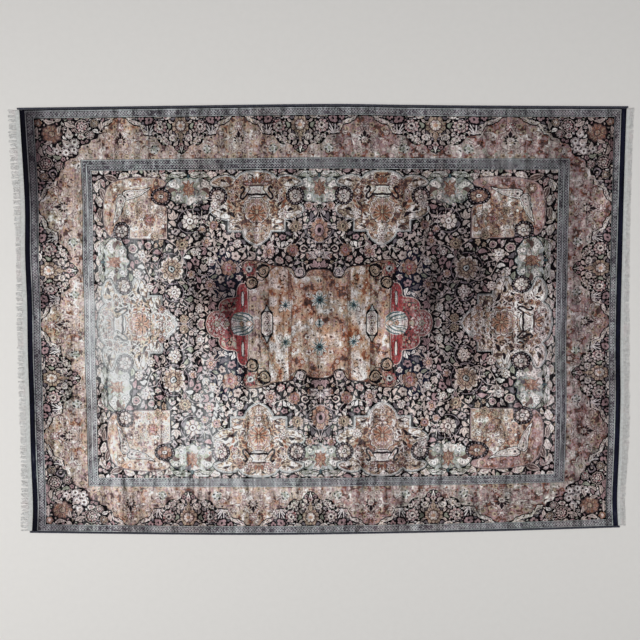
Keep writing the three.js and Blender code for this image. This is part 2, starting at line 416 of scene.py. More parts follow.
def fillPale(chart, where, rng, tries=400, sizes=(10, 8)):
    chart.sow(where.copy(), rng, (paleFlowers, sizes, tries // 2, 2), (paleLeaves, (19, 14), tries, 2),
              (paleFlowers, (6, 4.6), tries, 1), (paleSpecks, (2.2, 1.7), tries * 2, 1))


# rings of the large flowers, from outside in
bigLooks = {
    "cream": (("night", 1), ("creamy", .9), ("umber", .42), ("ivory", .34), ("umber", .14)),
    "white": (("night", 1), ("creamy", .92), ("lilac", .5), ("ivory", .42), ("slate", .16)),
    "orange": (("night", 1), ("warm", .92), ("rose", .5), ("crimson", .3), ("sand", .16)),
    "pink": (("night", 1), ("pinkish", .92), ("umber", .44), ("peach", .34), ("umber", .14)),
    "ochre": (("night", 1), ("golden", .92), ("umber", .5), ("sand", .4), ("ink", .2)),
    "russet": (("night", 1), ("warm", .92), ("umber", .56), ("rose", .44), ("ink", .2)),
    "eye": (("night", 1), ("creamy", .95), ("golden", .8), ("umber", .6), ("golden", .52), ("ink", .3),
            ("ice", .22), ("ink", .1)),
}


def bigFlower(chart, x, y, size, look, flat=1, turn=0, petals=9):
    coats = [(share, .2 if share > .5 else .05, colour) for colour, share in bigLooks[look]]
    chart.stamp(rosette, x, y, size, turn, petals=petals, coats=coats, flat=flat, veins="umber" if size > 14
                else None)


def ring(chart, x, y, size, heart="creamy", flat=1):  # a flower in a dark beaded ring
    chart.bloom(x, y, size * 1.12, 8, (1, 0, "night"), (.72, 0, "umber"), flat=flat)
    for step in range(18):
        a = math.radians(step * 20)
        chart.stamp(leaf, x + size * .95 * math.cos(a), y + size * .95 * flat * math.sin(a), 6.5,
                    step * 20 + 60, coats=("lilac",), width=.34, back=.5, rim=0)
    chart.bloom(x, y, size * .76, 7, (1, .24, heart), (.46, .1, "umber"), (.32, 0, "ivory"),
                (.14, 0, "ink"), flat=flat, veins="umber")


def lay(chart, part, x, y, sideways=False):  # a painted part, its own zero put at x, y
    ink, left, low = (part.ink.T, part.low, part.left) if sideways else (part.ink, part.left, part.low)
    col, row = round((x + left - chart.left) / knot), round((y + low - chart.low) / knot)
    c0, r0 = max(0, col), max(0, row)
    c1, r1 = min(chart.cols, col + ink.shape[1]), min(chart.rows, row + ink.shape[0])
    block = ink[r0 - row:r1 - row, c0 - col:c1 - col]
    np.copyto(chart.ink[r0:r1, c0:c1], block, where=block >= 0)


def mirrored(half):  # a chart that starts at zero, doubled to the left
    whole = KnotChart(half.left - half.cols * knot, half.left + half.cols * knot, half.low,
                      half.low + half.rows * knot, None)
    whole.ink[:] = np.concatenate([half.ink[:, ::-1], half.ink], 1)
    return whole


def paintCartouche(stretch, ground, heart, seed):
    # a scalloped plate with its vase: s aside from its middle line, t from its tip to the field's frame
    rng = random.Random(seed)
    half = KnotChart(0, 200, -12, 306 * stretch, None)

    def high(rows):
        return [(s, t * stretch, *rest) for s, t, *rest in rows]

    outline = high([(0, 0), (10, 5), (24, 11), (38, 21), (50, 35), (56, 49), (58, 58), (66, 56), (112, 56),
                    (112, 104), (126, 105), (140, 108), (156, 116), (172, 124), (183, 134), (186, 144),
                    (182, 154), (168, 162), (150, 168), (134, 174), (126, 182), (121, 192), (120, 204),
                    (124, 216), (132, 226), (146, 234), (164, 238), (180, 244), (182, 251), (172, 262),
                    (150, 272), (124, 277), (98, 273), (84, 262), (76, 269), (66, 281), (40, 291), (0, 295),
                    (-60, 295), (-60, 0)])
    mask = half.plate(outline, (7, "night"), (4.2, "ice"), (1.4, "night"), (0, "ivory"), (-2.8, "ink"),
                      (-4.2, ground))
    inner = shrink(mask, 4)
    # golden leaf lobes with dark leaves across them
    half.stampAll(leaf, high(((104, 112, 84, 14), (100, 140, 84, 3), (106, 238, 72, 10), (66, 70, 48, -4),
                              (64, 90, 50, 8))), coats=("umber", "lobe"), width=.22, rim=2.8, bend=.06)
    for s, t, size, turn, fill in ((86, 112, 38, 28, "ink"), (62, 66, 32, 18, "umber"),
                                   (82, 150, 32, 46, "umber"), (120, 136, 34, 10, "ink"),
                                   (120, 250, 30, 12, "umber"), (80, 182, 28, 74, "rust")):
        half.stamp(leaf, s, t * stretch, size, turn, coats=("ink", fill), width=.19, bend=.12, rim=4.2)
    # the tall leafy stem up to the great palmette
    half.plate(high(rounded([(-50, 8), (10, 8), (34, 30), (46, 60), (50, 100), (-50, 100)], 1)),
               (0, "umber"), (-1.4, ground))
    for number, t in enumerate((14, 34, 56, 78)):
        for hand in (0, 1):
            half.stamp(leaf, 1 + 17 * hand, (t + 9 * hand) * stretch, 19 + number * 1.4, 62 - number * 12
                       - 22 * hand,
                       coats=("umber", ("shell", "golden", "creamy", "peach")[(number * 2 + hand) % 4]),
                       width=.25, rim=1.2)
    for t, size in ((30, 9), (62, 12)):
        half.bloom(0, t * stretch, size, 6, (1, .2, "umber"), (.84, .2, "creamy"), (.3, 0, "umber"))
    half.bloom(0, 140 * stretch, 56, 11, (1, .14, "umber"), (.93, .14, "ivory"), (.86, .14, "golden"),
               (.66, .1, "rust"), (.6, .1, "creamy"), veins="rose")
    for step in range(9):
        a = math.radians(-90 + step * 21)
        half.stamp(leaf, 4 * math.cos(a), stretch * 132 + 4 * math.sin(a), 43 - step * 2, math.degrees(a),
                   coats=("rust" if step % 2 else "ink", heart if step % 2 else "golden"), width=.14,
                   rim=2.6)
        half.stamp(leaf, 6 * math.cos(a + .18), stretch * 132 + 6 * math.sin(a + .18), 34, math.degrees(a)
                   + 10.5, coats=("peach",), width=.08, rim=0)
    half.bloom(0, 133 * stretch, 9, 8, (1, .2, "umber"), (.7, .1, "sand"))
    # the vase: a small pale bowl between dark scrolls
    half.plate(high(rounded([(-60, 190), (20, 192), (33, 198), (36, 208), (27, 218), (22, 226), (32, 234),
                             (-60, 236)], 1)), (2.8, "ink"), (0, "ivory"), (-6, "creamy"))
    half.stroke(high([(0, 204), (20, 201), (38, 204), (47, 194), (57, 184), (65, 189), (62, 204), (52, 214),
                      (48, 226), (55, 234), (62, 227)]), 8.4, "ink")
    half.stroke(high([(44, 202), (54, 192), (58, 200)]), 2.4, "shell")
    half.stroke(high([(0, 238), (40, 238)]), 5.6, "umber")
    for s, t, size, turn in ((0, 244, 30, 90), (6, 244, 32, 62), (12, 242, 32, 36), (20, 240, 34, 14),
                             (60, 250, 30, 30), (68, 232, 30, -10)):
        half.stamp(leaf, s, t * stretch, size, turn, coats=("umber", heart if turn > 60 else "pinkish"),
                   width=.2, rim=2.6)
    for s, t, size, fill in ((46, 266, 13, "pinkish"), (78, 250, 12, "warm"), (100, 214, 12, "creamy"),
                             (84, 226, 11, "warm"), (98, 184, 12, "pinkish")):
        half.bloom(s, t * stretch, size, 5, (1, .3, "umber"), (.86, .3, fill), (.3, 0, "ink"), veins="umber")
    rich = inner & (half.ink == yarnNo[ground]) & (half.x > 3)
    half.sow(rich.copy(), rng, (darkTwigs, (22, 16), 400, 1), (paleFlowers, (9, 7), 260, 1),
             (paleLeaves, (15, 11), 400, 1), (darkTwigs, (9,), 400, 1), (paleSpecks, (2.2,), 500, 1))
    ring(half, 155, 195 * stretch, 33)
    return mirrored(half)


def paintSagePlate():  # t toward the field's frame
    rng = random.Random(4)
    half = KnotChart(0, 118, -76, 72, None)
    outline = rounded([(0, -66), (20, -46), (44, -56), (66, -38), (94, -24), (96, 8), (80, 32), (52, 44),
                       (22, 42), (0, 52), (-20, 40), (-20, -40)], 1)
    half.stampAll(leaf, ((2, 62, 96, -14), (26, 50, 60, -4), (70, 44, 42, -46)),
                  coats=("night", "sage", "icy"), width=.17, rim=2.2, vein="umber", bend=.12)
    half.plate(outline, (4.2, "night"), (1.4, "teal"), (0, "cloudy"))
    for s, t, turn, size, fill in ((20, -22, -20, 46, "ice"), (34, 10, 14, 54, "ivory"),
                                   (30, 26, 40, 34, "ice"), (52, -18, 30, 40, "sage")):
        half.stamp(leaf, s, t, size, turn, coats=("sage", fill), width=.24, rim=1.5, bend=.1)
    for s, t in ((44, -30), (58, 22)):
        half.bloom(s, t, 13, 5, (1, .3, "slate"), (.88, .3, "ivory"), (.3, 0, "slate"))
    fillPale(half, (half.ink == yarnNo["cloudy"]) & (half.x > 26), rng, 60, (6,))
    half.stampAll(leaf, ((78, 0, 34, 170), (84, -14, 26, 150)), coats=("umber",), width=.26, rim=0, back=.2)
    half.bloom(0, 2, 24, 7, (1, .3, "umber"), (.92, .3, "warm"), (.56, .3, "peach"), (.22, 0, "rust"),
               veins="rust", flat=1.3)
    for turn in (50, 90, -50, -90):
        half.stamp(leaf, 0, 4, 40, turn, coats=("umber", "warm"), width=.16, rim=1.4)
    half.stamp(leaf, 0, 44, 22, 90, coats=("night", "teal"), width=.3)
    return mirrored(half)


def paintMedallion(chart, rng):
    # the middle of the field: a quarter of it, h out along the length, v along the width
    shoulder = [(-90, 200), (100, 205), (118, 226), (190, 232), (214, 243), (262, 254), (302, 252),
                (313, 216), (292, 196), (297, 162), (292, 150), (292, -80), (-90, -80)]
    body = chart.plate(rounded(shoulder, 1), (4, "night"), (1, "umber"), (-1, "shoulder"))
    chart.dye(shrink(body, 2) & (chart.x > 250) & (chart.y > 190), "warm")
    chart.dye(shrink(body, 2) & (chart.x > 238) & (chart.y < 150 + 9 * np.sin(chart.x / 6)), "corner")
    chart.sow(shrink(body, 3) & (chart.x > 208), rng, (softFlowers, (11, 8), 120, 3),
              (softLeaves, (16, 12), 200, 2), (darkTwigs, (9,), 200, 2))
    # crimson wings and lobes, and the pointed end
    lobe = chart.plate(rounded([(290, -60), (290, 138), (300, 162), (318, 162), (332, 140), (334, 106),
                                (352, 104), (380, 101), (400, 88), (407, 68), (402, 52), (430, 50),
                                (450, 32), (459, 0), (459, -60)], 1), (5.6, "night"), (2.8, "shell"),
                       (0, "crimsons"))
    chart.dye(lobe & (chart.x > 352) & (chart.x < 392) & (chart.y < 50), "ink", "umber", "crimson", "umber",
              "crimson", grain=(9, 9))
    chart.dye(lobe & ~shrink(lobe, 4) & (chart.x > 292), "crimson", "crimson", "rose", "rust",
              grain=(10, 10))
    chart.dye(lobe & (chart.x < 336) & (chart.y > 44), "umber", *["crimson"] * 9, "rust", "rose",
              grain=(9, 14))
    chart.plate(rounded([(305, 72), (305, 122), (310, 132), (316, 122), (316, 72)], 1), (1.4, "ink"),
                (-1.4, "ivory"))
    chart.bloom(412, 0, 43, 9, (1, .14, "pinkish"), (.82, .3, "crimsons"), (.68, .3, "pinkish"),
                (.42, .2, "icy"), flat=1.12, veins="crimson")
    small = [floret(5, (1, "creamy"), (.3, "ink")), floret(5, (1, "cool")),
             floret(5, (1, "night"), (.5, "peach")), floret(4, (1, "rust"), (.5, "ink"))]
    chart.sow(chart.ink == yarnNo["pinkish"], rng, (small, (6, 4.4), 160, 2), (paleSpecks, (1.8,), 200, 1))
    chart.sow(lobe & (chart.ink == yarnNo["crimsons"]) & (chart.x > 336), rng, (small, (12, 9), 120, 3),
              (softLeaves, (14, 10), 240, 2), (small, (6,), 120, 2), (paleSpecks, (2,), 200, 2))
    chart.bloom(416, 0, 17, 7, (1, .3, "crimson"), (.8, .3, "sage"), (.4, 0, "shell"), (.2, 0, "umber"))
    chart.bloom(374, 0, 15, 6, (1, .2, "ink"), (.8, .2, "golden"), (.4, 0, "sage"))
    chart.bloom(283, 219, 30, 8, (1, .2, "night"), (.92, .2, "crimsons"), (.5, .2, "umber"),
                (.42, .1, "ice"), (.16, 0, "night"), veins="umber")
    chart.plate([(206, 196), (206, 226), (240, 244), (262, 236), (250, 205), (252, 180), (230, 176)],
                (2.8, "night"), (0, "shoulder"))
    for h, v, size, turn in ((225, 212, 24, 30), (273, 164, 24, 200)):
        chart.bloom(h, v, size * 1.14, 8, (1, 0, "night"))
        chart.stamp(scroll, h, v, size, turn, fill="golden", line="night", turns=1.5, thick=3.6)
    # the middle panel and the two long pillows
    panel = chart.plate(rounded([(-60, -60), (-60, 206), (-20, 214), (28, 214), (48, 204), (56, 186),
                                 (78, 178), (100, 184), (112, 204), (124, 204), (124, -60)], 1),
                        (3, "umber"), (0, "panel"))
    chart.dye(shrink(panel, 2) & (chart.y > 190), "warm")
    pill = chart.plate([(160 - 45, -60)] + arc(160, 184, 45, 45, 180, 0, 16) + [(160 + 45, -60)],
                       (1.4, "umber"), (0, "pillow"))
    chart.dye(pill & (chart.x < 128) & (chart.y > 90), "warm")
    light = [floret(5, (1, "umber"), (.7, "ivory")), floret(6, (1, "rust"), (.6, "shell")),
             floret(5, (1, "creamy"), (.4, "umber")), leaflet("umber"), leaflet("rose"), leaflet("rust"),
             (sprig, dict(colour="ivory")), (sprig, dict(colour="rose"))]
    chart.sow(shrink(panel | pill, 4), rng, (light, (13, 9), 120, 6), (darkTwigs, (14, 10), 200, 5),
              (light, (7, 5), 300, 4), (darkTwigs, (8, 6), 300, 2), (paleSpecks, (2.1, 1.6), 400, 2))
    for h, v, size, arms in ((0, 93, 32, 10), (138, 73, 23, 8), (0, 4, 15, 6)):
        chart.bloom(h, v, size * 1.1, arms, (1, .5, "icy"))
        chart.stamp(star, h, v, size, arms=arms, colours=("teal", "ink"), thin=.13)
    for h, v, size in ((150, 182, 9), (147, 162, 6), (158, 200, 4), (152, 146, 3)):
        chart.stroke(arc(h, v, size, size, 190, 350, 6), 3.4, "ink")
    chart.stamp(scroll, 78, 206, 25, 250, fill="cool", line="night", turns=1.5, thick=3.6)
    # the upright beige plaque, and the teal and white flower
    chart.plate([(213, -80), (220, -62), (234, -46), (237, -36), (237, 36), (234, 46), (220, 62), (213, 80),
                 (206, 62), (192, 46), (189, 36), (189, -36), (192, -46), (206, -62)], (1.4, "ink"),
                (0, "night"))
    chart.plate([(192, -34), (192, 34), (203, 46), (223, 46), (234, 34), (234, -34)], (0, "ivory"),
                (-3, "creamy"))
    chart.plate([(213, 72), (203, 50), (223, 50)], (0, "ice"))
    for v, size in ((0, 13), (25, 10), (44, 5)):
        chart.bloom(213, v, size, 6, (1, .2, "ink"), (.8, .2, "creamy"), (.4, 0, "umber"))
    chart.plate(rounded([(266, -60), (266, 10), (272, 31), (290, 45), (318, 48), (342, 43), (353, 28),
                         (358, 8), (358, -60)], 2), (0, "icy"))
    chart.dye((chart.x > 334) & (chart.x < 356) & (chart.y < 16) & (chart.ink == yarnNo["icy"]), "creamy")
    for points, thick in ((((282, 12), (294, 23), (312, 31), (330, 33), (346, 38)), 5.6),
                          (((290, 6), (303, 13), (319, 18), (338, 20), (352, 26)), 3.6),
                          (((272, 24), (285, 35), (302, 42), (322, 44)), 5.6),
                          (((278, 18), (270, 10), (268, 0)), 2.8),
                          (((304, 6), (318, 10), (336, 11), (352, 14)), 2.8)):
        chart.stroke(points, thick, "teal")
    chart.stamp(leaf, 300, 0, 32, 180, coats=("peach", "ivory"), width=.3, rim=3)
    chart.bloom(314, 0, 9, 6, (1, .2, "rust"), (.6, 0, "sand"), (.3, 0, "night"))


def paintCornerPiece(chart, rng):
    outline = rounded([(613, 345), (613, 356), (613, 460), (617, 467), (625, 471), (672, 484), (680, 520),
                       (650, 545), (612, 560), (630, 580), (700, 588), (800, 582), (862, 562), (886, 500),
                       (888, 420), (874, 370), (848, 350), (842, 396), (812, 408), (778, 396), (772, 352),
                       (768, 345), (626, 345)], 1)
    mask = chart.plate(outline, (4.2, "night"), (2.8, "rose"), (1.4, "night"), (0, "shell"),
                       (-1.4, "corner"))
    inner = shrink(mask, 3)
    waver = 14 * np.sin(chart.x / 17) + 9 * np.sin(chart.y / 11 + chart.x / 23)
    edge = np.maximum(chart.y - 552 + waver, chart.x - 850 + waver)
    for depth, colours in ((-26, "rosy"), (-6, "blush")):
        chart.dye(shrink(mask, 1) & (edge > depth) & (chart.x + chart.y > 1170), colours)
    for x, y, size, look in ((690, 420, 27, "orange"), (742, 452, 19, "ochre"), (642, 440, 17, "cream"),
                             (704, 368, 16, "ochre")):
        coats = [(share, .3 if share > .5 else .05, colour) for colour, share in bigLooks[look][1:]]
        chart.stamp(rosette, x, y, size, petals=6, coats=[(1, .3, "umber"), *coats], veins="umber")
    chart.stroke(arc(706, 470, 56, 36, 170, 400, 18), 2.6, "umber")
    for x, y, turn, flip in ((782, 520, 176, True), (812, 500, 278, False)):
        chart.stamp(boteh, x, y, 108, turn, flip, coats=("ink", "ivory", "umber", "creamy"),
                    insets=(0, .14, .3, .4), broad=.2)
        c, s = math.cos(math.radians(turn)), math.sin(math.radians(turn))
        for far in (0, 16, 30):
            chart.bloom(x + far * c, y + far * s, 4 - far / 14, 8, (1, 0, "ink"))
    chart.bloom(836, 542, 21, 6, (1, .3, "umber"), (.84, .3, "golden"), (.3, 0, "ivory"), veins="umber")
    free = inner & ~chart.disc(782, 520, 27) & ~chart.disc(812, 500, 27)
    free &= ~((abs(chart.y - 526) < 20) & (abs(chart.x - 735) < 60))
    free &= ~((abs(chart.x - 818) < 19) & (abs(chart.y - 450) < 60))
    band = free & ((chart.ink == yarnNo["blush"]) | (chart.ink == yarnNo["rosy"]))
    chart.sow(band, rng, (softFlowers, (10, 8), 200, 3), (softLeaves, (16, 12), 300, 2),
              (darkTwigs, (9,), 200, 2))
    free &= (chart.ink != yarnNo["blush"]) & (chart.ink != yarnNo["rosy"])
    fillPale(chart, free & (chart.ink != yarnNo["umber"]) & (chart.ink != yarnNo["night"]), rng, 500, (9, 7))
    ring(chart, 809, 374, 34)
    ring(chart, 638, 512, 40, "warm", .76)


def paintPerimeter(chart):  # the leafy chain along the field's frame
    runs = [(h, 592, 0) for h in range(14, 905, 60)] + [(909, v, 90) for v in range(14, 560, 60)]
    for number, (x, y, turn) in enumerate(runs):
        c, s = math.cos(math.radians(turn)), math.sin(math.radians(turn))
        flip = 1 if number % 2 else -1
        for along, aside, size, lean, fill in ((-26, 9, 62, -26, "creamy"), (30, -10, 44, 205, "pinkish"),
                                               (10, 14, 26, 60, "shell")):
            aside, lean = aside * flip, lean * flip
            chart.stamp(leaf, x + along * c - aside * s, y + along * s + aside * c, size, turn + lean,
                        coats=("night", fill), width=.27, rim=2.6, vein="umber", bend=.12 * flip)
    chart.stampAll(leaf, ((880, 596, 76, 200), (898, 552, 70, 250), (908, 470, 60, 262)),
                   coats=("night", "shell", "umber"), width=.22, rim=3, vein="shell")


# the field's large flowers: place, size, look
fieldFlowers = ((521, 412, 37, "cream"), (594, 222, 52, "eye"), (364, 225, 34, "orange"),
                (550, 320, 27, "ochre"), (106, 295, 26, "orange"), (201, 290, 27, "pink"),
                (95, 389, 26, "ochre"), (586, 128, 29, "cream"), (716, 278, 26, "white"),
                (440, 156, 25, "pink"), (330, 322, 20, "cream"), (452, 330, 23, "pink"),
                (664, 352, 20, "ochre"), (486, 62, 20, "white"), (548, 20, 20, "ochre"),
                (36, 268, 18, "russet"), (418, 480, 22, "white"), (44, 470, 19, "pink"),
                (424, 396, 20, "russet"), (744, 205, 21, "cream"), (516, 200, 18, "pink"),
                (436, 250, 20, "white"), (500, 290, 19, "cream"), (640, 60, 18, "pink"),
                (690, 150, 22, "cream"), (470, 380, 17, "pink"), (150, 440, 20, "cream"))
# its spiral stems: middle, first and last radius, first and last angle
fieldStems = ((470, 240, 100, 34, -60, 330), (440, 80, 70, 28, 30, 420), (500, 480, 66, 34, 200, 500),
              (160, 350, 84, 32, 0, 380), (60, 430, 60, 26, 100, 470), (640, 250, 96, 60, 90, 420),
              (560, 60, 66, 30, 180, 560), (440, 440, 70, 34, 0, 380), (700, 190, 66, 30, 60, 400),
              (360, 300, 80, 50, 200, 480), (50, 300, 62, 26, -90, 270), (240, 280, 46, 24, 0, 300),
              (490, 150, 60, 26, 120, 420), (400, 370, 60, 26, 100, 420))


def paintField():
    rng = random.Random(11)
    chart = KnotChart(0, chartSize["fieldLong"], 0, chartSize["fieldWide"])
    paintPerimeter(chart)
    sage = paintSagePlate()
    lay(chart, sage, 0, 537)
    lay(chart, sage, 523, 537)
    lay(chart, sage, 838, 250, sideways=True)
    paintCornerPiece(chart, rng)
    lay(chart, paintCartouche(1, "vase", "rust", 2), 252, 315)
    lay(chart, paintCartouche(1.16, "paleVase", "peach", 3), 576, 0, sideways=True)
    for x, y, size, look in fieldFlowers:
        bigFlower(chart, x, y, size, look, turn=x % 40, petals=7 + x % 4)
    bigFlower(chart, 0, 373, 40, "russet", flat=1.3)
    for x, y, size in ((521, 412, 47), (594, 222, 62), (586, 128, 38), (0, 373, 50)):
        # a thin pale hoop about each
        for start in (10, 130, 250):
            chart.stroke(arc(x, y, size, size, start, start + 96, 12), 2.6, "lilac", over="night")
    for number, stem in enumerate(fieldStems):  # thin spiral stems with leaves along them
        line = arc(*stem, 44)
        line = [(x + 3 * math.sin(y / 9), y + 3 * math.sin(x / 8)) for x, y in line]
        colour = ("cool", "shell", "cool", "creamy")[number % 4]
        chart.stroke(line, 2.6, colour, over="night")
        for k in range(3, 42, 4):
            (x, y), (x1, y1) = line[k], line[k + 1]
            turn = math.degrees(math.atan2(y1 - y, x1 - x)) + (48 if k % 8 > 3 else -48)
            place, inked = chart.motif(x, y, 25, turn, False, leaf,
                                       dict(coats=(colour,), rim=0, width=.24, bend=.14))
            free = chart.ink[place] == yarnNo["night"]
            np.copyto(chart.ink[place], inked, where=(inked >= 0) & free)
    paintMedallion(chart, rng)
    for turn, size in ((20, 60), (52, 52), (88, 58), (-16, 48)):
        # pale curled leaves round the field's middle line
        chart.stamp(leaf, 4, 262, size, turn, coats=("night", "cool"), width=.17, bend=.18)
    chart.stamp(star, 0, 285, 20, arms=4, colours=("cool", "ivory"), thin=.24)
    fillNight(chart, rng, 1800)
    blue = (chart.ink == yarnNo["night"]) & (np.hypot((chart.x - 380) / 70, (chart.y - 195) / 100) < 1)
    chart.ink[blue] = yarnNo["navy"]
    return chart


def bunch(chart, x, y, size, kinds):  # a round posy with a pale hoop in the dark
    chart.bloom(x, y, size * 1.12, 9, (1, .1, "night"), (.92, .1, "shell"), (.84, .1, "night"))
    chart.bloom(x, y, size * .8, 9, (1, .3, kinds), (.56, .2, "ink"), (.44, .3, "creamy"), (.18, 0, "ink"),
                veins="ink")


def palePink(chart, where, rng, tries=500):
    chart.dye(where, "border")
    chart.sow(shrink(where, 1), rng, (softFlowers, (11, 9), tries // 2, 3),
              (softLeaves, (21, 15), tries, 2), (darkTwigs, (13, 9), tries, 2),
              (softFlowers, (6, 4.6), tries, 2), (softLeaves, (9,), tries, 1),
              (paleSpecks, (2,), tries // 2, 3))


def paintBorderUnit():
    # from the middle of a pale scallop (0) to the middle of a dark lobe (250); depth in from the outer guard
    rng = random.Random(5)
    chart = KnotChart(0, chartSize["unit"], 0, chartSize["band"])
    steps = ((0, 0), (18, 1), (24, 4), (32, 8), (38, 20), (48, 24), (58, 32), (76, 35), (85, 41), (88, 53),
             (95, 60), (98, 72), (116, 75), (142, 77), (150, 85), (158, 99), (166, 108), (186, 114),
             (196, 107), (206, 110), (218, 117), (222, 128), (234, 140), (250, 148))
    line = np.interp(chart.x, [a for a, _ in steps], [d for _, d in steps])
    dark = np.broadcast_to(chart.y < line, chart.ink.shape)
    palePink(chart, ~dark, rng)
    for a, d, wide, high in ((0, 34, 76, 46), (62, 122, 17, 34), (96, 100, 22, 12)):
        chart.dye(~dark & (np.hypot((chart.x - a) / wide, (chart.y - d) / high) < 1)
                  & (chart.ink == yarnNo["border"]), "blush")
    # pale flowers with dark spots, and the dark ring palmette of the scallop
    chart.bloom(139, 129, 21, 5, (1, .2, "sand"), (.92, .2, "icy"), (.3, 0, "sage"))
    for step in range(5):
        a = math.radians(18 + step * 72)
        chart.bloom(139 + 14 * math.cos(a), 129 + 14 * math.sin(a), 3.4, 8, (1, 0, "ink"))
    chart.blooms(((76, 66, 12), (22, 138, 11), (206, 144, 12)), 6, (1, .3, "umber"), (.84, .3, "shell"),
                 (.3, 0, "umber"))
    for step in range(-4, 5):
        a = math.radians(-90 + step * 34)
        chart.stamp(leaf, 11 * math.cos(a), 94 + 11 * math.sin(a), 13, math.degrees(a), coats=("ink",),
                    width=.3, rim=0)
    chart.stamp(leaf, 0, 82, 24, -90, coats=("ink",), width=.26, rim=0)
    chart.bloom(0, 95, 11, 6, (1, .2, "creamy"), (.5, .2, "umber"), (.25, 0, "shell"))
    chart.stroke(arc(0, 100, 34, 36, 5, 85, 8), 1.6, "umber")
    chart.bloom(0, 40, 20, 8, (1, .3, "umber"), (.88, .3, "pinkish"), (.3, 0, "ivory"), veins="umber")
    chart.stampAll(leaf, ((12, 52, 34, 30), (24, 72, 30, 50), (44, 84, 34, 10), (60, 62, 30, -10),
                          (100, 110, 34, 20), (120, 104, 28, -30)), coats=("umber", "creamy"), width=.16,
                   rim=1.5, bend=.12)
    # the dark lobe, a leafy cream rim along the scallop's outline
    chart.dye(grow(dark, 1), "ink")
    chart.dye(dark, "night")
    depth = line - chart.y
    chart.dye(dark & (chart.x > 28) & (chart.x < 122) & (depth < 16 + 4 * abs(np.sin(chart.x / 8)))
              & (depth > 4), "creamy")
    for a, d, turn in ((44, 14, 30), (62, 22, 30), (80, 30, 60), (92, 52, 80), (108, 62, 20)):
        chart.stamp(leaf, a, d, 12, turn, coats=("ink",), width=.14, rim=0, back=.5)
    for points in (((121, 70), (125, 52), (133, 36), (145, 22), (160, 13), (180, 9)),
                   ((121, 70), (131, 54), (142, 43), (152, 36)), ((120, 70), (114, 52), (113, 36)),
                   ((121, 70), (136, 66), (150, 62))):
        chart.stroke(points, 5.6, "lilac")
        chart.stroke(points, 3, "ivory")
    chart.bloom(166, 39, 31, 9, (1, .1, "night"), (.86, .24, "pinkish"), (.56, .3, "ink"),
                (.46, .3, "creamy"), (.2, 0, "ink"), veins="ink")
    chart.blooms(((176, 88, 14), (160, 80, 10), (190, 100, 11)), 5, (1, .3, "creamy"), (.3, 0, "umber"),
                 veins="ink")
    chart.bloom(250, 36, 40, 9, (1, .2, "night"), (.9, .2, "golden"), (.6, .1, "umber"), (.5, .1, "creamy"),
                (.2, 0, "peach"), veins="umber")
    chart.stampAll(leaf, ((206, 8, 30, 70), (222, 8, 26, 110), (196, 40, 26, 60)), coats=("night",),
                   width=.2, rim=0)
    chart.stamp(leaf, 250, 58, 54, 90, coats=("night", "golden"), width=.17, rim=1.6)
    chart.stamp(leaf, 190, 88, 34, 10, coats=("night", "creamy"), width=.3, rim=1.6)
    chart.bloom(216, 84, 21, 8, (1, 0, "night"))
    chart.stamp(scroll, 216, 84, 18, 120, fill="creamy", line="night", turns=1.4)
    for turn, size, fill in ((90, 36, "ivory"), (64, 36, "creamy"), (38, 34, "creamy")):
        chart.stamp(leaf, 250, 112, size, turn, coats=("ink", fill), width=.18, rim=1.8)
    chart.bloom(250, 112, 12, 6, (1, .3, "night"), (.88, .3, "pinkish"), (.3, 0, "umber"))
    chart.stampAll(leaf, ((214, 50, 26, 100), (200, 14, 24, 20), (140, 56, 20, 100), (232, 66, 20, 60)),
                   coats=("shell",), width=.2, vein="ink", rim=0, bend=.14)
    fillNight(chart, rng, 400)
    return chart


def paintBorderCorner():  # p and q in from the corner of the outer guard
    rng = random.Random(8)
    chart = KnotChart(0, chartSize["corner"], 0, chartSize["corner"], None)
    steps = [(0, 0), (0, 272), (40, 262), (58, 258), (66, 236), (80, 232), (86, 208), (100, 200),
             (106, 172), (128, 158), (144, 156), (156, 144), (158, 128), (172, 106), (200, 100), (208, 86),
             (232, 80), (236, 66), (258, 58), (262, 40), (272, 0)]
    mask = chart.within(steps)
    band, reach = chartSize["band"], chartSize["unit"]
    palePink(chart, ((chart.x < band) | (chart.y < band)) & ~mask & (chart.x < reach) & (chart.y < reach),
             rng, 300)
    chart.dye(grow(mask, 2), "ink")
    chart.dye(mask, "night")
    chart.bloom(62, 62, 43, 10, (1, .2, "ink"), (.92, .2, "umber"), (.8, .2, "warm"), (.34, .1, "umber"),
                (.24, 0, "golden"), veins="umber")
    for p, q in ((146, 97), (143, 128), (112, 136), (78, 128), (128, 66), (118, 104)):
        chart.bloom(p, q, 18, 5, (1, .3, "cool"), (.6, .2, "ivory"), (.26, 0, "umber"))
    for p, q, size, kind in ((176, 34, 26, "pinkish"), (206, 68, 16, "pinkish"), (34, 180, 26, "pinkish"),
                             (84, 190, 17, "pinkish"), (224, 22, 17, "golden"), (24, 232, 17, "golden")):
        bunch(chart, p, q, size, kind)
    chart.stampAll(leaf, ((112, 16, 44, 20), (16, 112, 44, 70), (124, 36, 40, 60), (36, 124, 40, 30),
                          (98, 84, 40, 20), (84, 98, 40, 70), (6, 34, 44, 80), (34, 6, 44, 10),
                          (100, 30, 36, 110), (30, 100, 36, -20)), coats=("shell",), width=.17,
                   vein="umber", rim=0, bend=.14)
    fillNight(chart, rng, 400)
    return chart


# where each band of each side begins, from the rug's edge inwards
bands = dict(left=(-1200, -1181, -1146, -973, -930), right=(1200, 1181, 1153, 982, 935),
             near=(-860, -849, -820, -661, -624), far=(860, 845, 814, 653, 607))
# the middles of each side's pale and dark lobes in turn
lobes = dict(left=(-455, -218, -2, 214, 468), right=(-449, -209, -2, 214, 454),
             near=(-803, -567, -300, -65, 184, 441, 723), far=(-811, -570, -342, -98, 159, 441, 740))
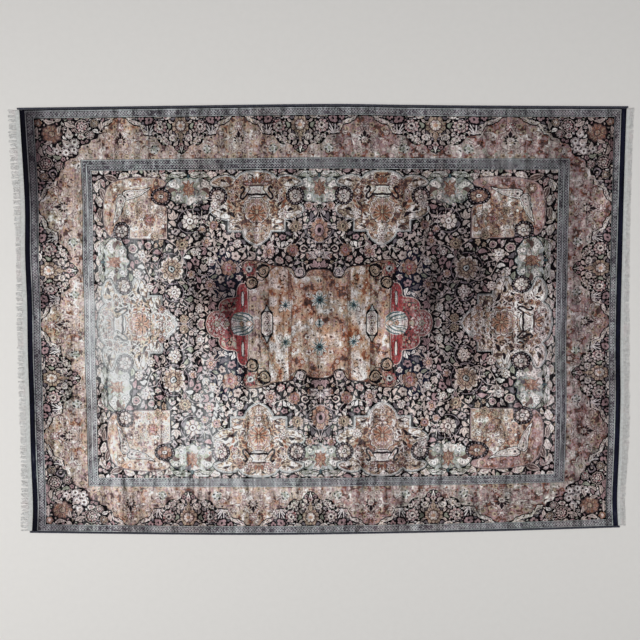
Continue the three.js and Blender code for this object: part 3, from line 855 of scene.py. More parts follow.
# guard bands: where each begins and ends, and its rules as shares of the band; between them small checks
outerRules = ((0, .12, "ice"), (.12, .18, "navy"), (.8, .86, "navy"), (.86, .94, "ice"), (.94, 1, "night"))
innerRules = ((0, .05, "night"), (.05, .12, "ice"), (.12, .16, "navy"), (.43, .46, "navy"),
              (.46, .54, "ice"), (.54, .57, "navy"), (.85, .89, "navy"), (.89, .96, "ice"),
              (.96, 1, "night"))
guards = dict(outer=(1, 2, outerRules), inner=(3, 4, innerRules))
# the field's own middle, and how far out it is drawn even; how a border's run ends at the corner pieces
rugPlan = dict(halfLong=1201.2, halfWide=848.4, middle=-24, even=600, lobeRun=235, cornerPress=130,
               cornerRun=135, check=11.2, course=5.6, checkShare=dict(outer=.3, inner=.38))


def depths(x, y, outer, inner):  # how far into a band each column and each row lies, 0 to 1
    across = np.where(x < 0, (x - bands["left"][outer]) / (bands["left"][inner] - bands["left"][outer]),
                      (bands["right"][outer] - x) / (bands["right"][outer] - bands["right"][inner]))
    up = np.where(y < 0, (y - bands["near"][outer]) / (bands["near"][inner] - bands["near"][outer]),
                  (bands["far"][outer] - y) / (bands["far"][outer] - bands["far"][inner]))
    return across, up


def knotNumbers(values, count):
    return np.clip((values / knot).astype(int), 0, count - 1)


def paintRug():
    long, wide = rugPlan["halfLong"], rugPlan["halfWide"]
    rug = KnotChart(-long, long, -wide, wide, "navy")
    x, y = rug.x[0], rug.y[:, 0]
    field, unit, corner = paintField(), paintBorderUnit(), paintBorderCorner()
    middle, even = rugPlan["middle"], rugPlan["even"]
    h = abs(x - middle)
    reach = np.where(x < middle, middle - bands["left"][4], bands["right"][4] - middle)
    h = np.where(h < even, h, even + (h - even) * (chartSize["fieldLong"] - even) / (reach - even))
    v = abs(y) * chartSize["fieldWide"] / np.where(y > 0, bands["far"][4], -bands["near"][4])
    inside = np.ix_((y > bands["near"][4]) & (y < bands["far"][4]), (x > bands["left"][4])
                    & (x < bands["right"][4]))
    rug.ink[inside] = field.ink[np.ix_(knotNumbers(v, field.rows), knotNumbers(h, field.cols))][inside]
    deepX, deepY = depths(x, y, 2, 3)
    band = chartSize["band"]
    for side, marks in lobes.items():
        # the main border: one unit, mirrored and fitted between the lobes' middles
        upright = side in ("left", "right")
        run, depth, away = (y, deepX, x) if upright else (x, deepY, y)
        along = (1 - abs(np.interp(run, marks, range(len(marks))) % 2 - 1)) * chartSize["unit"]
        ends = (bands["near"][2], bands["far"][2]) if upright else (bands["left"][2], bands["right"][2])
        for end, mark in zip(ends, (marks[0], marks[-1])):
            past = (run - mark) * math.copysign(1, end)
            pressed = past * rugPlan["cornerPress"] / (abs(end - mark) - rugPlan["lobeRun"])
            along = np.where(past > 0, np.clip(pressed, 0, rugPlan["cornerRun"]), along)
        inBand = (depth >= 0) & (depth < 1) & (away * bands[side][0] > 0)
        inRun = (run > ends[0]) & (run < ends[1])
        part = unit.ink[np.ix_(knotNumbers(depth * band, unit.rows), knotNumbers(along, unit.cols))]
        where = np.ix_(inRun, inBand) if upright else np.ix_(inBand, inRun)
        rug.ink[where] = (part.T if upright else part)[where]
    for signX in (-1, 1):
        for signY in (-1, 1):
            p, q = np.where(x * signX > 0, deepX * band, -1), np.where(y * signY > 0, deepY * band, -1)
            cols, rows = ((deep >= 0) & (deep < chartSize["corner"]) for deep in (p, q))
            part = corner.ink[np.ix_(knotNumbers(q[rows], corner.rows), knotNumbers(p[cols], corner.cols))]
            near = (p[cols][None, :] < band) | (q[rows][:, None] < band)
            where = np.ix_(rows, cols)
            rug.ink[where] = np.where((part >= 0) & near, part, rug.ink[where])
    for name, (outer, inner, rules) in guards.items():
        across, up = depths(x, y, outer, inner)
        depth = np.minimum(across[None, :], up[:, None])
        along = np.where(across[None, :] < up[:, None], y[:, None], x[None, :])
        course = np.floor(depth * abs(bands["far"][inner] - bands["far"][outer]) / rugPlan["course"])
        checks = (along / rugPlan["check"] + course % 2 / 2) % 1 < rugPlan["checkShare"][name]
        ink = np.where(checks, yarnNo["navy"], yarnNo["frosty"]).astype(np.int8)
        for low, high, colour in rules:
            ink[(depth >= low) & (depth < high)] = yarnNo[colour]
        guard = (depth >= 0) & (depth < 1)
        rug.ink[guard] = ink[guard]
    # the left half gets paler, less rosy blends: painted sheen, as the light washes over that half
    for name, paler in (("corner", "beige"), ("blush", "corner"), ("rosy", "corner"), ("border", "beige")):
        rug.ink[(rug.ink == yarnNo[name]) & (rug.x < 0)] = yarnNo[paler]  # the left half is less rosy
    rug.ink[(rug.ink == yarnNo["paleVase"]) & (rug.x > 0)] = yarnNo["ripe"]
    for number, (name, (wide, high, colours)) in enumerate(blends.items()):
        rug.dye(rug.ink == yarnNo[name], *colours.split(), grain=(wide, high), seed=number + 3)
    return rug


class Reading:  # wraps a shader socket, so that maths on it reads as plain sums
    def __init__(self, recipe, socket):
        self.recipe = recipe
        self.socket = socket

    def maths(self, operation, *others):
        values = {number: value for number, value in enumerate((self, *others))}
        return self.recipe.add("ShaderNodeMath", {"operation": operation}, values)

    def __add__(self, other):
        return self.maths("ADD", other)

    def __sub__(self, other):
        return self.maths("SUBTRACT", other)

    def __mul__(self, other):
        return self.maths("MULTIPLY", other)

    def __truediv__(self, other):
        return self.maths("DIVIDE", other)

    def __rsub__(self, other):
        return self.recipe.add("ShaderNodeMath", {"operation": "SUBTRACT"}, {0: other, 1: self})

    __radd__ = __add__
    __rmul__ = __mul__

    def clipped(self, low=0, high=1):
        return self.recipe.add("ShaderNodeClamp", {}, {"Value": self, "Min": low, "Max": high})

    def part(self, name):  # another output of the same node
        return Reading(self.recipe, self.socket.node.outputs[name])


class Recipe:  # one material and its nodes
    def __init__(self, name):
        self.material = bpy.data.materials.new(name)
        self.material.use_nodes = True
        self.tree = self.material.node_tree
        self.tree.nodes.clear()

    def add(self, kind, settings, sockets, out=0):
        node = self.tree.nodes.new(kind)
        for key, value in settings.items():
            if key == "stops":
                elements = node.color_ramp.elements
                while len(elements) < len(value):
                    elements.new(1)
                for element, (place, colour) in zip(elements, value):
                    element.position = place
                    element.color = colour
            elif key == "interpolation":
                node.color_ramp.interpolation = value
            else:
                setattr(node, key, value)
        for key, value in sockets.items():
            if isinstance(value, Reading):
                self.tree.links.new(value.socket, node.inputs[key])
            else:
                node.inputs[key].default_value = value
        return Reading(self, node.outputs[out]) if len(node.outputs) else None

    def spot(self):  # where a point lies on the piece, in metres
        return self.add("ShaderNodeTexCoord", {}, {}, "Object")

    def stretched(self, scale):
        return self.add("ShaderNodeMapping", {}, {"Vector": self.spot(), "Scale": scale})

    def noise(self, vector, scale=1.0, detail=2.0, rough=.5):
        return self.add("ShaderNodeTexNoise", {}, {"Vector": vector, "Scale": scale, "Detail": detail,
                                                   "Roughness": rough})

    def mixed(self, share, first, second, blend="MIX"):
        return self.add("ShaderNodeMix", {"data_type": "RGBA", "blend_type": blend},
                        {0: share, 6: first, 7: second}, 2)

    def bell(self, vector, x, y, wide, long):  # 1 at a place, falling softly to 0 around it
        off = self.add("ShaderNodeVectorMath", {"operation": "SUBTRACT"}, {0: vector, 1: (x, y, 0)})
        off = self.add("ShaderNodeVectorMath", {"operation": "MULTIPLY"},
                       {0: off, 1: (1 / wide, 1 / long, 0)})
        far = self.add("ShaderNodeVectorMath", {"operation": "DOT_PRODUCT"}, {0: off, 1: off}, "Value")
        fall = (1 - far * .5).clipped()
        return fall * fall

    def apart(self, vector):
        node = self.add("ShaderNodeSeparateXYZ", {}, {0: vector}, "X")
        return node, node.part("Y"), node.part("Z")

    def finish(self, colour, roughness, height, depth, bumpStrength=1.0, **constants):
        sockets = {"Base Color": colour, "Roughness": roughness}
        sockets["Normal"] = self.add("ShaderNodeBump", {}, {"Height": height, "Distance": depth,
                                                            "Strength": bumpStrength})
        sockets.update({name.replace("_", " "): value for name, value in constants.items()})
        shader = self.add("ShaderNodeBsdfPrincipled", {}, sockets)
        self.add("ShaderNodeOutputMaterial", {}, {"Surface": shader})
        return self.material


def hexColour(code):  # a web colour as linear light
    values = [int(code[i:i + 2], 16) / 255 for i in (1, 3, 5)]
    return tuple(v / 12.92 if v <= .04045 else ((v + .055) / 1.055) ** 2.4 for v in values) + (1,)


def keep(name, mesh, material):
    piece = bpy.data.objects.new(name, mesh)
    bpy.context.scene.collection.objects.link(piece)
    mesh.materials.clear()
    mesh.materials.append(material)
    return piece


# the pile: a fine grid on top, a coarser one underneath, six by six knots in each face
pileGrid = dict(across=286, up=202, knotsPerFace=6, yarnBase=16, waveHeight=.25, waveLong=(260, 700),
                creaseHeight=.12, creaseLean=.12, creaseLong=(60, 150), hang=.25, mostLift=.6, wallTop=.4,
                wallFoot=.5)


def packed(ink, step):  # 36 knots of a face as two vectors, six 4-bit yarn numbers in each number
    rows, cols = ink.shape[0] // step, ink.shape[1] // step
    cells = ink.reshape(rows, step, cols, step).transpose(0, 2, 1, 3).astype(np.int64)
    weights = pileGrid["yarnBase"] ** np.arange(step)
    return (cells * weights).sum(-1).astype(np.float32).reshape(rows * cols, step)


def ripples(x, y, rng, count, low, high):  # low waves in many directions
    height = 0
    for _ in range(count):
        turn, long = rng.uniform(0, math.pi), rng.uniform(low, high)
        height = height + np.sin((x * math.cos(turn) + y * math.sin(turn)) * 2 * math.pi / long
                                 + rng.uniform(0, 6.3))
    return height / count ** .5


def makePile(chart):
    rng = random.Random(21)
    across, up, step = pileGrid["across"], pileGrid["up"], pileGrid["knotsPerFace"]
    fx, fy = np.meshgrid(np.linspace(0, 1, across + 1), np.linspace(0, 1, up + 1))
    inset = rugSize["rimInset"]
    trimX = inset / rugSize["pileLength"]
    trimY = inset / pileHalfWidth / 2
    x, y = onPile(trimX + fx * (1 - 2 * trimX), trimY + fy * (1 - 2 * trimY))
    lift = ripples(x, y, rng, 7, *pileGrid["waveLong"]) * pileGrid["waveHeight"]
    # soft lines across the rug
    creases = ripples(x, y * pileGrid["creaseLean"], rng, 5,
                      *pileGrid["creaseLong"]) * pileGrid["creaseHeight"]
    most = pileGrid["mostLift"]
    z = rugSize["pileHeight"] - pileGrid["hang"] + np.clip(lift + creases, -most, most)
    top = placed(x, y, z).reshape(-1, 3)

    def grid(rows, cols, first):
        r, c = np.meshgrid(np.arange(rows), np.arange(cols), indexing="ij")
        a = first + r * (cols + 1) + c
        return np.stack([a, a + 1, a + cols + 2, a + cols + 1], -1).reshape(-1, 4)

    def rim(rows, cols, first):  # the grid's outer points, anticlockwise from above
        low = [first + c for c in range(cols)]
        right = [first + r * (cols + 1) + cols for r in range(rows)]
        high = [first + rows * (cols + 1) + c for c in range(cols, 0, -1)]
        left = [first + r * (cols + 1) for r in range(rows, 0, -1)]
        return low + right + high + left

    coarseX, coarseY = np.meshgrid(np.linspace(0, 1, across // 2 + 1), np.linspace(0, 1, up // 2 + 1))
    bx, by = onPile(trimX / 2 + coarseX * (1 - trimX), trimY / 2 + coarseY * (1 - trimY))
    under = placed(bx, by, 0).reshape(-1, 3)
    ringShares = np.array([(c / across, 0) for c in range(across)] + [(1, r / up) for r in range(up)]
                          + [(c / across, 1) for c in range(across, 0, -1)]
                          + [(0, r / up) for r in range(up, 0, -1)])
    rx, ry = onPile(ringShares[:, 0], ringShares[:, 1])
    rings = [placed(rx, ry, level) for level in (rugSize["shoulder"] + pileGrid["wallTop"],
                                                 pileGrid["wallFoot"])]
    first = dict(top=0, under=len(top))
    first["high"] = first["under"] + len(under)
    first["low"] = first["high"] + len(rx)
    points = np.concatenate([top, under, *rings])
    topFaces = grid(up, across, 0)
    underFaces = grid(up // 2, across // 2, first["under"])[:, ::-1]
    topRim, underRim = rim(up, across, 0), rim(up // 2, across // 2, first["under"])
    count = len(rx)
    walls = []
    for i in range(count):
        j = (i + 1) % count
        walls.append((first["high"] + i, first["high"] + j, topRim[j], topRim[i]))
        walls.append((first["low"] + i, first["low"] + j, first["high"] + j, first["high"] + i))
    for i in range(count // 2):
        a, b, c = (first["low"] + k % count for k in (2 * i, 2 * i + 1, 2 * i + 2))
        u, v = underRim[i], underRim[(i + 1) % (count // 2)]
        walls += [(u, b, a), (u, v, b), (v, c, b)]
    faces = topFaces.tolist() + underFaces.tolist() + walls
    mesh = bpy.data.meshes.new("knotted_pile")
    mesh.from_pydata(points, [], faces)
    base = pileGrid["yarnBase"]
    navyFace = np.full((len(walls), step), yarnNo["navy"] * ((base ** step - 1) // (base - 1)), np.float32)
    coarse = chart[::2, ::2]
    knots = np.concatenate([packed(chart, step), packed(coarse, step), navyFace])
    for name, part in (("knotsLow", knots[:, :3]), ("knotsHigh", knots[:, 3:])):
        mesh.attributes.new(name, "FLOAT_VECTOR", "FACE").data.foreach_set("vector", part.ravel())
    back = np.zeros(len(faces), np.float32)
    back[len(topFaces):len(topFaces) + len(underFaces)] = 1
    mesh.attributes.new("underside", "FLOAT", "FACE").data.foreach_set("value", back)
    upright = np.array([(0, 0), (1, 0), (1, 1), (0, 1)], np.float32)
    wallCells = np.full((sum(len(w) for w in walls), 2), .5, np.float32)
    cellMap = np.concatenate([np.tile(upright, (len(topFaces), 1)),
                              np.tile(upright[::-1], (len(underFaces), 1)), wallCells])
    mesh.uv_layers.new(name="knotCell").data.foreach_set("uv", cellMap.ravel())
    mesh.polygons.foreach_set("use_smooth", [True] * len(faces))
    mesh.validate()
    mesh.update()
    return mesh


# painted sheen and painted shade on the silk: bells painted lighter, as if leaning to the light, and darker,
# as if turned away: x, y, half width, half length in metres, how much
silkSheenAndShade = dict(
    plain=.765,
    towards=((-.82, .04, .26, .34, .85), (0, -.37, .5, .14, .32), (.38, -.16, .14, .22, .28),
             (-.36, .3, .34, .16, .2), (-.58, -.34, .38, .30, .95), (-.82, .42, .24, .30, .3),
             (-.50, -.62, .7, .24, .52), (.45, -.48, .60, .22, .2), (-.20, -.16, .30, .3, .16),
             (-1.02, -.4, .2, .6, .1), (.88, -.1, .2, .4, .3), (0, .38, .5, .1, .2),
             (.70, -.41, .15, .12, .24), (-.74, -.42, .16, .12, .22), (.29, .1, .08, .13, .36),
             (.3, -.1, .08, .13, .24)),
    away=((.50, .12, .24, .36, .42), (-.28, .16, .24, .2, .26), (.10, -.6, .34, .1, .2),
          (-1.19, .3, .09, 1, .4), (-1.16, .76, .16, .3, .3), (-1.16, -.8, .2, .22, .3),
          (-.6, -.78, .8, .09, .16), (1.0, .1, .2, .9, .26), (.5, .78, 1.1, .26, .14),
          (.97, 0, .09, .7, .2), (.1, .2, .3, .22, .12), (0, 0, .32, .24, .05),
          (-.26, .46, .16, .16, .2), (.25, .46, .17, .16, .2), (.52, .54, .1, .1, .14),
          (.25, -.44, .16, .16, .24), (-.36, .1, .08, .14, .46), (-.36, -.1, .07, .12, .2)))
# how fine each unevenness is: waves to a metre, along the rug and across
silkGrain = dict(knot=(714, 714, 0), tuft=(210, 120, 0), sheenStreaks=(75, 16, 0), dyeAndSheenBands=(24, 1.6, 0),
                 streak=(14, 9, 0), lot=(5, 3, 0), strands=(2600, 2600, 2600))
silkShade = dict(knot=.24, tuft=1.9, sheenStreaks=2.2, dyeAndSheenBands=2.2, cloud=1.2)  # and how much it lightens and darkens


def silkPile():
    look = Recipe("silk_pile")
    step, base = pileGrid["knotsPerFace"], pileGrid["yarnBase"]
    cell = look.add("ShaderNodeUVMap", {"uv_map": "knotCell"}, {})
    u, v, _ = look.apart(cell)
    u, v = (value.clipped(0, .9999) * step for value in (u, v))
    col, row = u.maths("FLOOR"), v.maths("FLOOR")
    rows = []
    for name in ("knotsLow", "knotsHigh"):
        rows += look.apart(look.add("ShaderNodeAttribute", {"attribute_name": name}, {}, "Vector"))
    line = sum((row.maths("COMPARE", number, .5) * value for number, value in enumerate(rows)), start=0)
    reach = sum((col.maths("COMPARE", number, .5) * float(base) ** -number for number in range(step)),
                start=0)
    tied = (line * reach).maths("FLOOR")
    yarn = tied - (tied / base).maths("FLOOR") * base
    stops = [(number / base, hexColour(code)) for number, code in enumerate(yarns.values())]
    dyed = look.add("ShaderNodeValToRGB", {"interpolation": "CONSTANT", "stops": stops},
                    {0: (yarn + .5) / base})
    spot = look.spot()
    # every knot differs a little and each batch of dye from the next; the long streaks and bands are also
    # painted sheen, as rows of pile catch the light unevenly
    number = look.add("ShaderNodeVectorMath", {"operation": "FLOOR"}, {0: look.stretched(silkGrain["knot"])})
    perKnot = look.add("ShaderNodeTexWhiteNoise", {"noise_dimensions": "3D"}, {0: number}, "Value")
    tuft = look.noise(look.stretched(silkGrain["tuft"]), 1, 2, .6)
    sheenStreaks = look.noise(look.stretched(silkGrain["sheenStreaks"]), 1, 3, .6)
    dyeAndSheenBands = look.noise(look.stretched(silkGrain["dyeAndSheenBands"]), 1, 3, .55)
    cloud = look.noise(spot, 6, 3, .6)
    # painted sheen and painted shade: bells painted lighter where the silk leans to the light and darker
    # where it turns away, their outlines bent by a slow noise
    slow = look.add("ShaderNodeTexNoise", {}, {"Vector": spot, "Scale": 3.2, "Detail": 2}, "Color")
    shifted = look.add("ShaderNodeVectorMath", {"operation": "SUBTRACT"}, {0: spot, 1: (.18, .15, 0)})
    wander = look.add("ShaderNodeVectorMath", {"operation": "MULTIPLY_ADD"},
                      {0: slow, 1: (.36, .3, 0), 2: shifted})
    # lean: the painted sheen, deep: the painted shade
    lean, deep = (sum((look.bell(wander, x, y, wide, long) * much
                       for x, y, wide, long, much in silkSheenAndShade[kind]), start=0)
                  for kind in ("towards", "away"))
    # shade: the plain tone with the painted sheen added and the painted shade taken off, then made uneven by
    # knot, tuft, sheen streak and band
    shade, uneven = (silkSheenAndShade["plain"] + lean - deep).clipped(.2, 3), 1
    for grain, much in zip((perKnot, tuft, sheenStreaks, dyeAndSheenBands, cloud), silkShade.values()):
        uneven = uneven + (grain - .5) * much
    shade = shade * uneven.clipped(.12, 3)
    # dye lots: rust streaks in the medallion, green and rosy patches; and a mauve tint of painted shade
    # where the silk is painted as turned away from the light
    streak = look.noise(look.stretched(silkGrain["streak"]), 1, 3, .65)
    tinted = look.mixed((look.bell(spot, 0, 0, .34, .26) * (streak - .5) * 5).clipped(0, .8), dyed,
                        (1, .72, .54, 1), "MULTIPLY")
    lot = look.noise(look.stretched(silkGrain["lot"]), 1, 3, .6)
    tinted = look.mixed(((lot - .52) * 5).clipped(0, 1), tinted, (1, .9, .86, 1), "MULTIPLY")
    tinted = look.mixed(((.46 - lot) * 5).clipped(0, 1), tinted, (.93, 1, .93, 1), "MULTIPLY")
    # painted shade: a mauve tint where the bells darken the silk
    tinted = look.mixed((deep * 1.6).clipped(0, 1), tinted, (1, .9, .97, 1), "MULTIPLY")
    colour = look.mixed(1.0, tinted, look.add("ShaderNodeCombineXYZ", {}, {0: shade, 1: shade, 2: shade}),
                        "MULTIPLY")
    # painted sheen: a pale haze over the colour where the silk is painted as lit, along the sheen streaks,
    # and over the left cartouche
    paintedSheen = (lean * (.2 + (sheenStreaks - .5) * 1.1 + (dyeAndSheenBands - .5) * .9) + (sheenStreaks + dyeAndSheenBands - 1.2) * .3
            + look.bell(wander, -.84, 0, .15, .3) * (.44 + (tuft - .5) * .8)).clipped(0, .64)
    withPaintedSheen = look.mixed(paintedSheen, look.mixed(1.0, colour, hexColour("#f4f2f0"), "DARKEN"), hexColour("#c9cccb"))
    back = look.add("ShaderNodeAttribute", {"attribute_name": "underside"}, {}, "Fac")
    final = look.mixed(back, withPaintedSheen, dyed)
    # the knots themselves
    domeU, domeV = ((value.maths("FRACT") * math.pi).maths("SINE") for value in (u, v))
    strands = look.noise(look.stretched(silkGrain["strands"]), 1, 1)
    height = (domeU * domeV).maths("POWER", .5) * .7 + strands * .5
    rough = .62 - lean * .15 + (sheenStreaks - .5) * .3
    return look.finish(final, rough.clipped(.3, .9), height, .0004, .6, Specular_IOR_Level=.04)


def navyWool():
    look = Recipe("navy_overcasting")
    tone = look.noise(look.spot(), 160, 3, .6)
    # paler grey patches over the navy
    greyNoise = look.noise(look.spot(), 14, 3, .6)
    colour = look.mixed(tone, hexColour("#12141f"), hexColour("#2c3047"))
    greyPatched = look.mixed(((greyNoise - .56) * 3).clipped(0, .5), colour, hexColour("#5d5f6c"))
    hairs = look.noise(look.stretched((900, 3200, 3200)), 1, 2)
    return look.finish(greyPatched, .62 + tone * .25, hairs, .0003, .8, Sheen_Weight=.3, Sheen_Roughness=.5)


def creamWarp(name, plain="#f0f0ee", shadow="#aeaca8", blush="#e0d2d0"):
    look = Recipe(name)
    tone = look.noise(look.spot(), 90, 3, .6)
    fuzz = look.noise(look.spot(), 17, 2, .5)
    colour = look.mixed((tone * 1.5 - .35).clipped(), hexColour(shadow), hexColour(plain))
    tinted = look.mixed(((fuzz - .5) * 2).clipped(0, .6), colour, hexColour(blush))
    hairs = look.noise(look.stretched((700, 3800, 3800)), 1, 2)
    return look.finish(tinted, .7 + fuzz * .2, hairs, .0002, .7, Sheen_Weight=.2, Sheen_Roughness=.5)


def newTree(name, *inputs):  # a Geometry Nodes tree with its inputs, and what finds each on a modifier
    tree = bpy.data.node_groups.new(name, "GeometryNodeTree")
    tree.interface.new_socket("Geometry", in_out="OUTPUT", socket_type="NodeSocketGeometry")
    ports = {}
    for label, kind in (("Geometry", "Geometry"), *inputs):
        port = tree.interface.new_socket(label, in_out="INPUT", socket_type="NodeSocket" + kind)
        ports[label] = port.identifier
    return tree, ports


def preset(node, **values):
    for name, value in values.items():
        node.inputs[name.replace("_", " ")].default_value = value


def named(tree, label, kind="FLOAT_VECTOR"):  # a node that reads an attribute of the points
    reader = tree.nodes.new("GeometryNodeInputNamedAttribute")
    reader.data_type = kind
    preset(reader, Name=label)
    return reader


def join(tree, *wires):  # each wire: a node, its output, the next node, its input
    for source, output, target, socket in wires:
        tree.links.new(source.outputs[output], target.inputs[socket])


# the overcast edge: a yarn wound round the outer cord, turn beside turn
overcast = dict(pitch=3.0, yarn=3.3, tilt=.16, around=10, yarnSides=4, leastTurn=(.93, .93, .8),
                mostTurn=(1.02, 1.02, 1.2), reach=rugSize["pileLength"] / 2 + rugSize["selvedgeOverrun"])


def wrapTree(material):
    tree, ports = newTree("overcast_turns", ("Turn Width", "Float"), ("Turn Height", "Float"),
                          ("Yarn", "Float"), ("Seed", "Int"))
    node = tree.nodes.new
    start, end = node("NodeGroupInput"), node("NodeGroupOutput")
    oval, section = node("GeometryNodeCurvePrimitiveCircle"), node("GeometryNodeCurvePrimitiveCircle")
    sweep, flatten = node("GeometryNodeCurveToMesh"), node("GeometryNodeTransform")
    stand = node("ShaderNodeCombineXYZ")
    preset(oval, Resolution=overcast["around"], Radius=1)
    preset(section, Resolution=overcast["yarnSides"])
    preset(stand, Z=1)
    place, loose = node("GeometryNodeInstanceOnPoints"), node("FunctionNodeRandomValue")
    loose.data_type = "FLOAT_VECTOR"
    loose.inputs[0].default_value = overcast["leastTurn"]
    loose.inputs[1].default_value = overcast["mostTurn"]
    aim = named(tree, "turnAngles")
    real, paint = node("GeometryNodeRealizeInstances"), node("GeometryNodeSetMaterial")
    preset(paint, Material=material)
    join(tree, (start, "Turn Width", stand, "X"), (start, "Turn Height", stand, "Y"),
         (stand, "Vector", flatten, "Scale"), (oval, "Curve", flatten, "Geometry"),
         (flatten, "Geometry", sweep, "Curve"), (start, "Yarn", section, "Radius"),
         (section, "Curve", sweep, "Profile Curve"), (start, "Seed", loose, "Seed"),
         (start, "Geometry", place, "Points"), (sweep, "Mesh", place, "Instance"),
         (aim, "Attribute", place, "Rotation"), (loose, "Value", place, "Scale"),
         (place, "Instances", real, "Geometry"), (real, "Geometry", paint, "Geometry"),
         (paint, "Geometry", end, "Geometry"))
    return tree, ports


def grown(name, points, attributes, tree, ports, settings):
    # plain points, run through a Geometry Nodes tree, as a plain mesh
    mesh = bpy.data.meshes.new(name + "_points")
    mesh.from_pydata(points, [], [])
    for label, values in attributes.items():
        kind, key = ("FLOAT_VECTOR", "vector") if values.ndim == 2 else ("FLOAT", "value")
        mesh.attributes.new(label, kind, "POINT").data.foreach_set(key, values.astype(np.float32).ravel())
    seedPiece = bpy.data.objects.new(name + "_points", mesh)
    bpy.context.scene.collection.objects.link(seedPiece)
    modifier = seedPiece.modifiers.new("grow", "NODES")
    modifier.node_group = tree
    for label, value in settings.items():
        modifier[ports[label]] = value
    bpy.context.view_layer.update()
    evaluated = seedPiece.evaluated_get(bpy.context.evaluated_depsgraph_get())
    result = bpy.data.meshes.new_from_object(evaluated)
    result.name = name
    seedPiece.modifiers.remove(modifier)
    bpy.data.objects.remove(seedPiece)
    for label in [a.name for a in result.attributes if a.name in attributes]:
        result.attributes.remove(result.attributes[label])
    result.polygons.foreach_set("use_smooth", [True] * len(result.polygons))
    return result


def makeSelvedge(side, sign, tree, ports):
    half, yarn = rugSize["rugWidth"] / 2, overcast["yarn"]
    x = np.arange(-overcast["reach"] + yarn / 2, overcast["reach"] - yarn / 2, overcast["pitch"])
    y = sign * (half - rugSize["selvedgeWidth"] / 2 + outAt[side](x))
    aims = math.pi / 2 + np.arctan(np.gradient(y, x)) + overcast["tilt"]
    angles = np.stack([np.full(len(x), math.pi / 2), np.zeros(len(x)), aims], -1)
    points = placed(x, y, rugSize["selvedgeHeight"] / 2)
    sizes = {"Turn Width": (rugSize["selvedgeWidth"] - yarn) / 2 * mm,
             "Turn Height": (rugSize["selvedgeHeight"] - yarn) / 2 * mm, "Yarn": yarn / 2 * mm, "Seed": 4}
    return grown("overcast_" + side, points, {"turnAngles": angles}, tree, ports, sizes)


# the fringe: warp ends gathered in knotted locks
fringe = dict(pitch=8.1, yarnsPerLock=13, yarn=.6, sides=3, steps=8, bunch=3.3, waviness=.34, tuck=.6,
              lockStray=.18, lockLength=(.86, 1.08), strandLength=(.8, 1.06), lean=(2, 6), splay=4,
              strandStray=.4, strandTurn=6, clear=.3, heap=(.1, 1.4), rootDepth=.8, lockWave=3.7,
              strandWave=.9, waveScale=170, waveShares=(.8, 1, .06))

# the flat-woven webs at both ends, with ribs along the weft
webSize = dict(left=18, right=15, thickness=1.8, rib=2.5, ribHeight=.55, lanesPerRib=4, beadHeight=.08,
               ragged=.35, raggedLong=(14, 60), steps=420)


def makeWeb(side):
    depth, steps = webSize[side], webSize["steps"]
    rng = random.Random(31)
    ribs = round(depth / webSize["rib"])
    lanes = ribs * webSize["lanesPerRib"]
    y = np.linspace(-pileHalfWidth, pileHalfWidth, steps + 1)
    out = np.linspace(0, 1, lanes + 1)
    grid = np.meshgrid(y, out, indexing="ij")
    ragged = ripples(grid[0], 0 * grid[0], rng, 5, *webSize["raggedLong"]) * webSize["ragged"] * grid[1]
    away = rugSize["seam"] + grid[1] * depth + ragged
    x = endX(side, grid[0]) + toward[side] * away
    swell = abs(np.sin(grid[1] * ribs * math.pi)) * webSize["ribHeight"]
    beads = np.sin(grid[0] * 2 * math.pi / fringe["pitch"]) * webSize["beadHeight"]
    z = webSize["thickness"] - webSize["ribHeight"] + swell + beads
    top = placed(x, grid[0], z).reshape(-1, 3)
    bottom = placed(x, grid[0], 0).reshape(-1, 3)
    count = len(top)
    faces = []
    stride = lanes + 1
    for s in range(steps):
        for k in range(lanes):
            a = s * stride + k
            quad = (a, a + 1, a + stride + 1, a + stride)
            faces.append(quad)
            faces.append(tuple(count + p for p in reversed(quad)))
    loop = list(range(lanes)) + [s * stride + lanes for s in range(steps)]
    loop += [steps * stride + k for k in range(lanes, 0, -1)] + [s * stride for s in range(steps, 0, -1)]
    for i, a in enumerate(loop):
        b = loop[(i + 1) % len(loop)]
        faces.append((b, a, count + a, count + b))
    if toward[side] < 0:
        faces = [tuple(reversed(face)) for face in faces]
    mesh = bpy.data.meshes.new("web_" + side)
    mesh.from_pydata(np.concatenate([top, bottom]), [], faces)
    made = bmesh.new()
    made.from_mesh(mesh)
    bmesh.ops.recalc_face_normals(made, faces=made.faces)
    made.to_mesh(mesh)
    made.free()
    mesh.polygons.foreach_set("use_smooth", [True] * len(faces))
    return mesh


